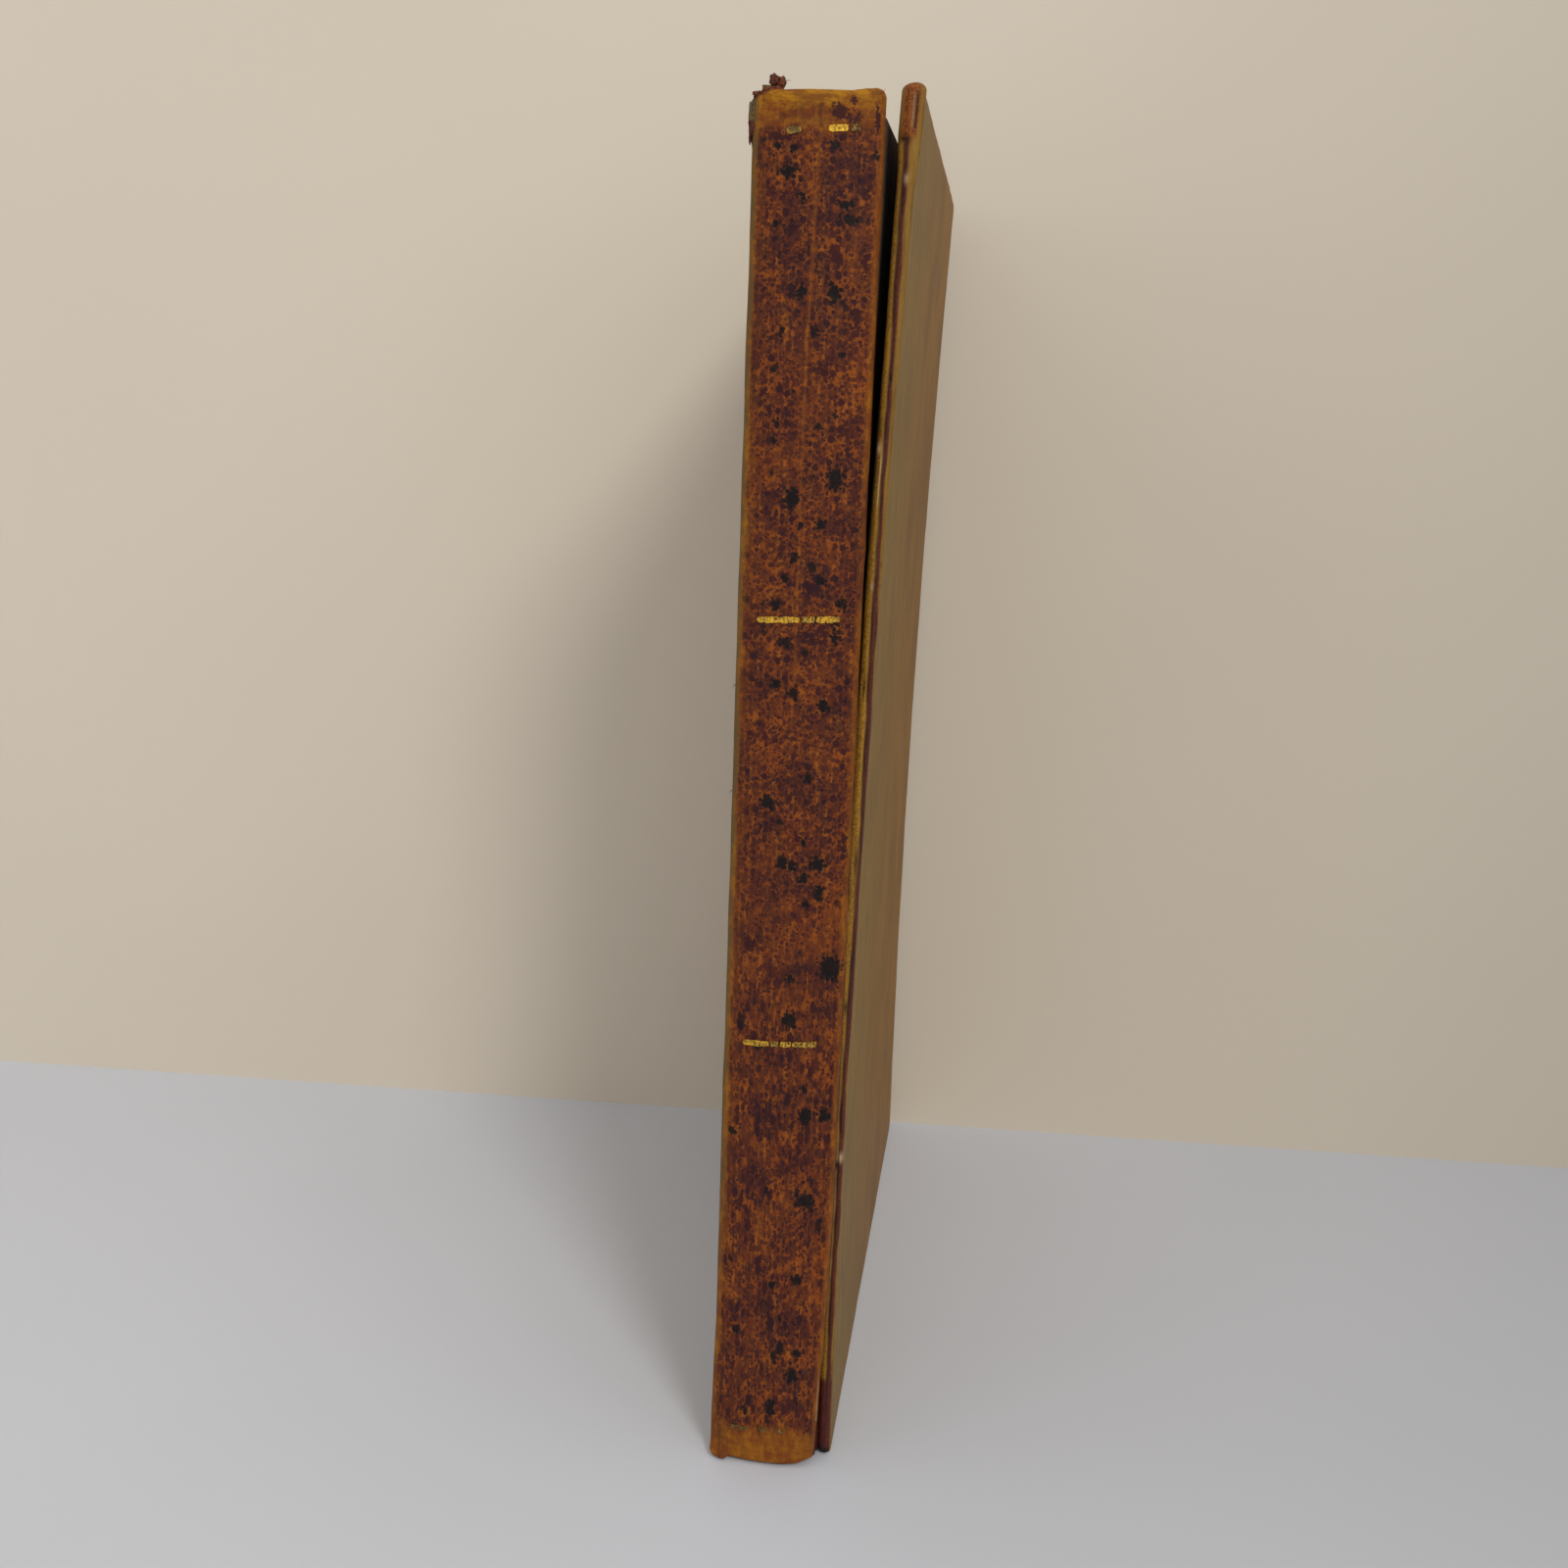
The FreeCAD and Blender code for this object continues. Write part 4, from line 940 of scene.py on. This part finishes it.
def fibre(name, points, width):
    """A loose thread of calf, tapering to its end."""
    points = np.array(points, dtype=float)
    count = len(points)
    widths = width * np.linspace(1, 0.25, count)[:, None]
    ring = [(1, 0, 0), (-0.5, 0, 0.87), (-0.5, 0, -0.87)]
    loop = np.concatenate([points + widths * np.array(way) for way in ring])
    loop = loop.reshape(3, count, 3).transpose(1, 0, 2).reshape(-1, 3)
    faces = quads(count, 3, round_columns=True) + [(0, 1, 2), (3 * count - 3, 3 * count - 2, 3 * count - 1)]
    return piece(name, loop, faces)


scrap = Finish("torn_calf", roughness=0.85)
scrap_hue = scrap.clouds(0.35, 3.0, 0.6)
scrap.wear(Base_Color=scrap.mixed(scrap_hue.between(0.4, 0.6), paint(124, 60, 28), paint(58, 27, 20)))
scrap.relief(scrap_hue, 0.2)
corner = lump("worn_back_corner", (-8.5, -1.9, 194.7), (0.6, 1.1, 2.9), 70)
levels = np.array([spot.co.z * 1000 for spot in corner.data.vertices])
marked(corner, "bare", eased(levels, 194.2, 195.2))
marked(corner, "red", eased(levels, 195.2, 194.2))
dressed(corner, polished, "back_cover", "calf")
scraps = [
    lump("tuft_left", (-5.9, -2.3, 199.45), (0.55, 0.5, 0.75), 60),
    lump("tuft_right", (-4.95, -2.3, 199.2), (0.6, 0.5, 0.7), 62),
    lump("tuft_foot", (-5.6, -2.4, 198.3), (1.0, 0.6, 0.45), 64),
    lump("torn_cap_strip", (-7.4, -2.4, 197.75), (1.1, 0.8, 0.38), 66),
    lump("torn_cap_middle", (-6.5, -2.5, 198.1), (0.9, 0.7, 0.4), 68),
    fibre("tuft_fibre", [(-4.5, -2.3, 199.3), (-4.1, -2.3, 199.45), (-3.75, -2.3, 199.4)], 0.06),
    fibre("cap_fibre", [(7.9, -1.6, 198.0), (8.2, -1.6, 198.5), (8.3, -1.6, 198.8)], 0.05),
    fibre("flank_fibre_high", [(-8.5, -2.4, 121.0), (-8.8, -2.4, 120.8), (-8.95, -2.4, 120.4)], 0.06),
    fibre("flank_fibre_low", [(-8.5, -2.4, 106.0), (-8.8, -2.4, 105.7), (-9.0, -2.4, 105.5)], 0.06),
]
for part in scraps:
    dressed(part, scrap, "book_block", "calf")
splinter = fibre("torn_joint_fibre", [(10.1, 0.0, 136.4), (10.3, -0.2, 135.9), (10.75, -0.25, 135.2)], 0.1)
dressed(splinter, scrap, "front_cover", "calf")

# The table and the wall behind it: smooth white board, with painted shade that darkens it towards the right.
# The wall is clear from behind, so it hides nothing when the book is seen from its fore-edge.
def sheet(name, corners, colour, one_sided=False):
    made = piece(name, corners, [(0, 1, 2, 3)], smooth=False)
    plain = Finish(name + "_white", roughness=0.6)
    faint = plain.clouds(160, 2.0, 0.5)
    board_tone = plain.coats(
        paint(*colour),
        (faint.between(0.3, 0.7), paint(*[part - 4 for part in colour])),
        # Painted shade: the light's falloff to the right is painted into the colour.
        (plain.measure(0).between(-80.0, 330.0), paint(*[part * 0.8 for part in colour])),
    )
    plain.wear(Base_Color=board_tone)
    if one_sided:
        behind = plain.node("ShaderNodeNewGeometry", {}, {}, "Backfacing")
        clear = plain.node("ShaderNodeBsdfTransparent", {}, {})
        board = Socket(plain, plain.surface.outputs[0])
        both = plain.node("ShaderNodeMixShader", {}, {0: behind, 1: board, 2: clear})
        plain.tree.links.new(both.output, plain.tree.nodes["Material Output"].inputs["Surface"])
    made.data.materials.append(plain.material)


wide, deep, tall = 1500, 900, 1500
sheet("table", [(-wide, -deep, 0), (wide, -deep, 0), (wide, deep, 0), (-wide, deep, 0)], (216, 221, 232))
wall_place, wall_turn = 124.0, 0.06
left_end, right_end = wall_place - wide * wall_turn, wall_place + wide * wall_turn
wall_corners = [(-wide, left_end, 0), (wide, right_end, 0), (wide, right_end, tall), (-wide, left_end, tall)]
sheet("wall", wall_corners, (222, 212, 196), one_sided=True)

# Light: a pale room, and one soft window high at the front right.
# The window throws the shadow that falls to the left of the book.
world = bpy.data.worlds.new("room")
bpy.context.scene.world = world
world.use_nodes = True
room = world.node_tree.nodes["Background"].inputs
room["Color"].default_value = paint(226, 224, 220)
room["Strength"].default_value = 0.92


def window(name, place, aim, size, power, colour):
    lamp = bpy.data.lights.new(name, "AREA")
    lamp.shape = "DISK"
    lamp.size = size
    lamp.energy = power
    lamp.color = paint(*colour)[:3]
    made = bpy.data.objects.new(name, lamp)
    bpy.context.scene.collection.objects.link(made)
    start, stop = Vector(placed(place)), Vector(placed(aim))
    made.location = start
    made.rotation_euler = (stop - start).to_track_quat("-Z", "Y").to_euler()


window("front_window", place=(577, -1025, 1042), aim=(0, 0, 110), size=0.36, power=7.8,
       colour=(255, 250, 242))

# Camera: close to the spine and a little above it, turned to see the front cover's side.
# Its place and its lens were fitted to the corners of the book in the photo.
lens = bpy.data.cameras.new("camera")
lens.lens = 37.32
lens.sensor_width = 36
camera_place = (28.02, -222.516, 158.63)
camera = bpy.data.objects.new("camera", lens)
bpy.context.scene.collection.objects.link(camera)
right = Vector((0.9895, 0.1399, 0.0373))
upward = Vector((-0.0675, 0.2179, 0.9736))
ahead = Vector((-0.1281, 0.9659, -0.2251))
turned = Matrix((right, upward, -ahead)).transposed().to_4x4()
camera.matrix_world = Matrix.Translation(placed(camera_place)) @ turned
bpy.context.scene.camera = camera
bpy.context.scene.view_settings.view_transform = "Standard"
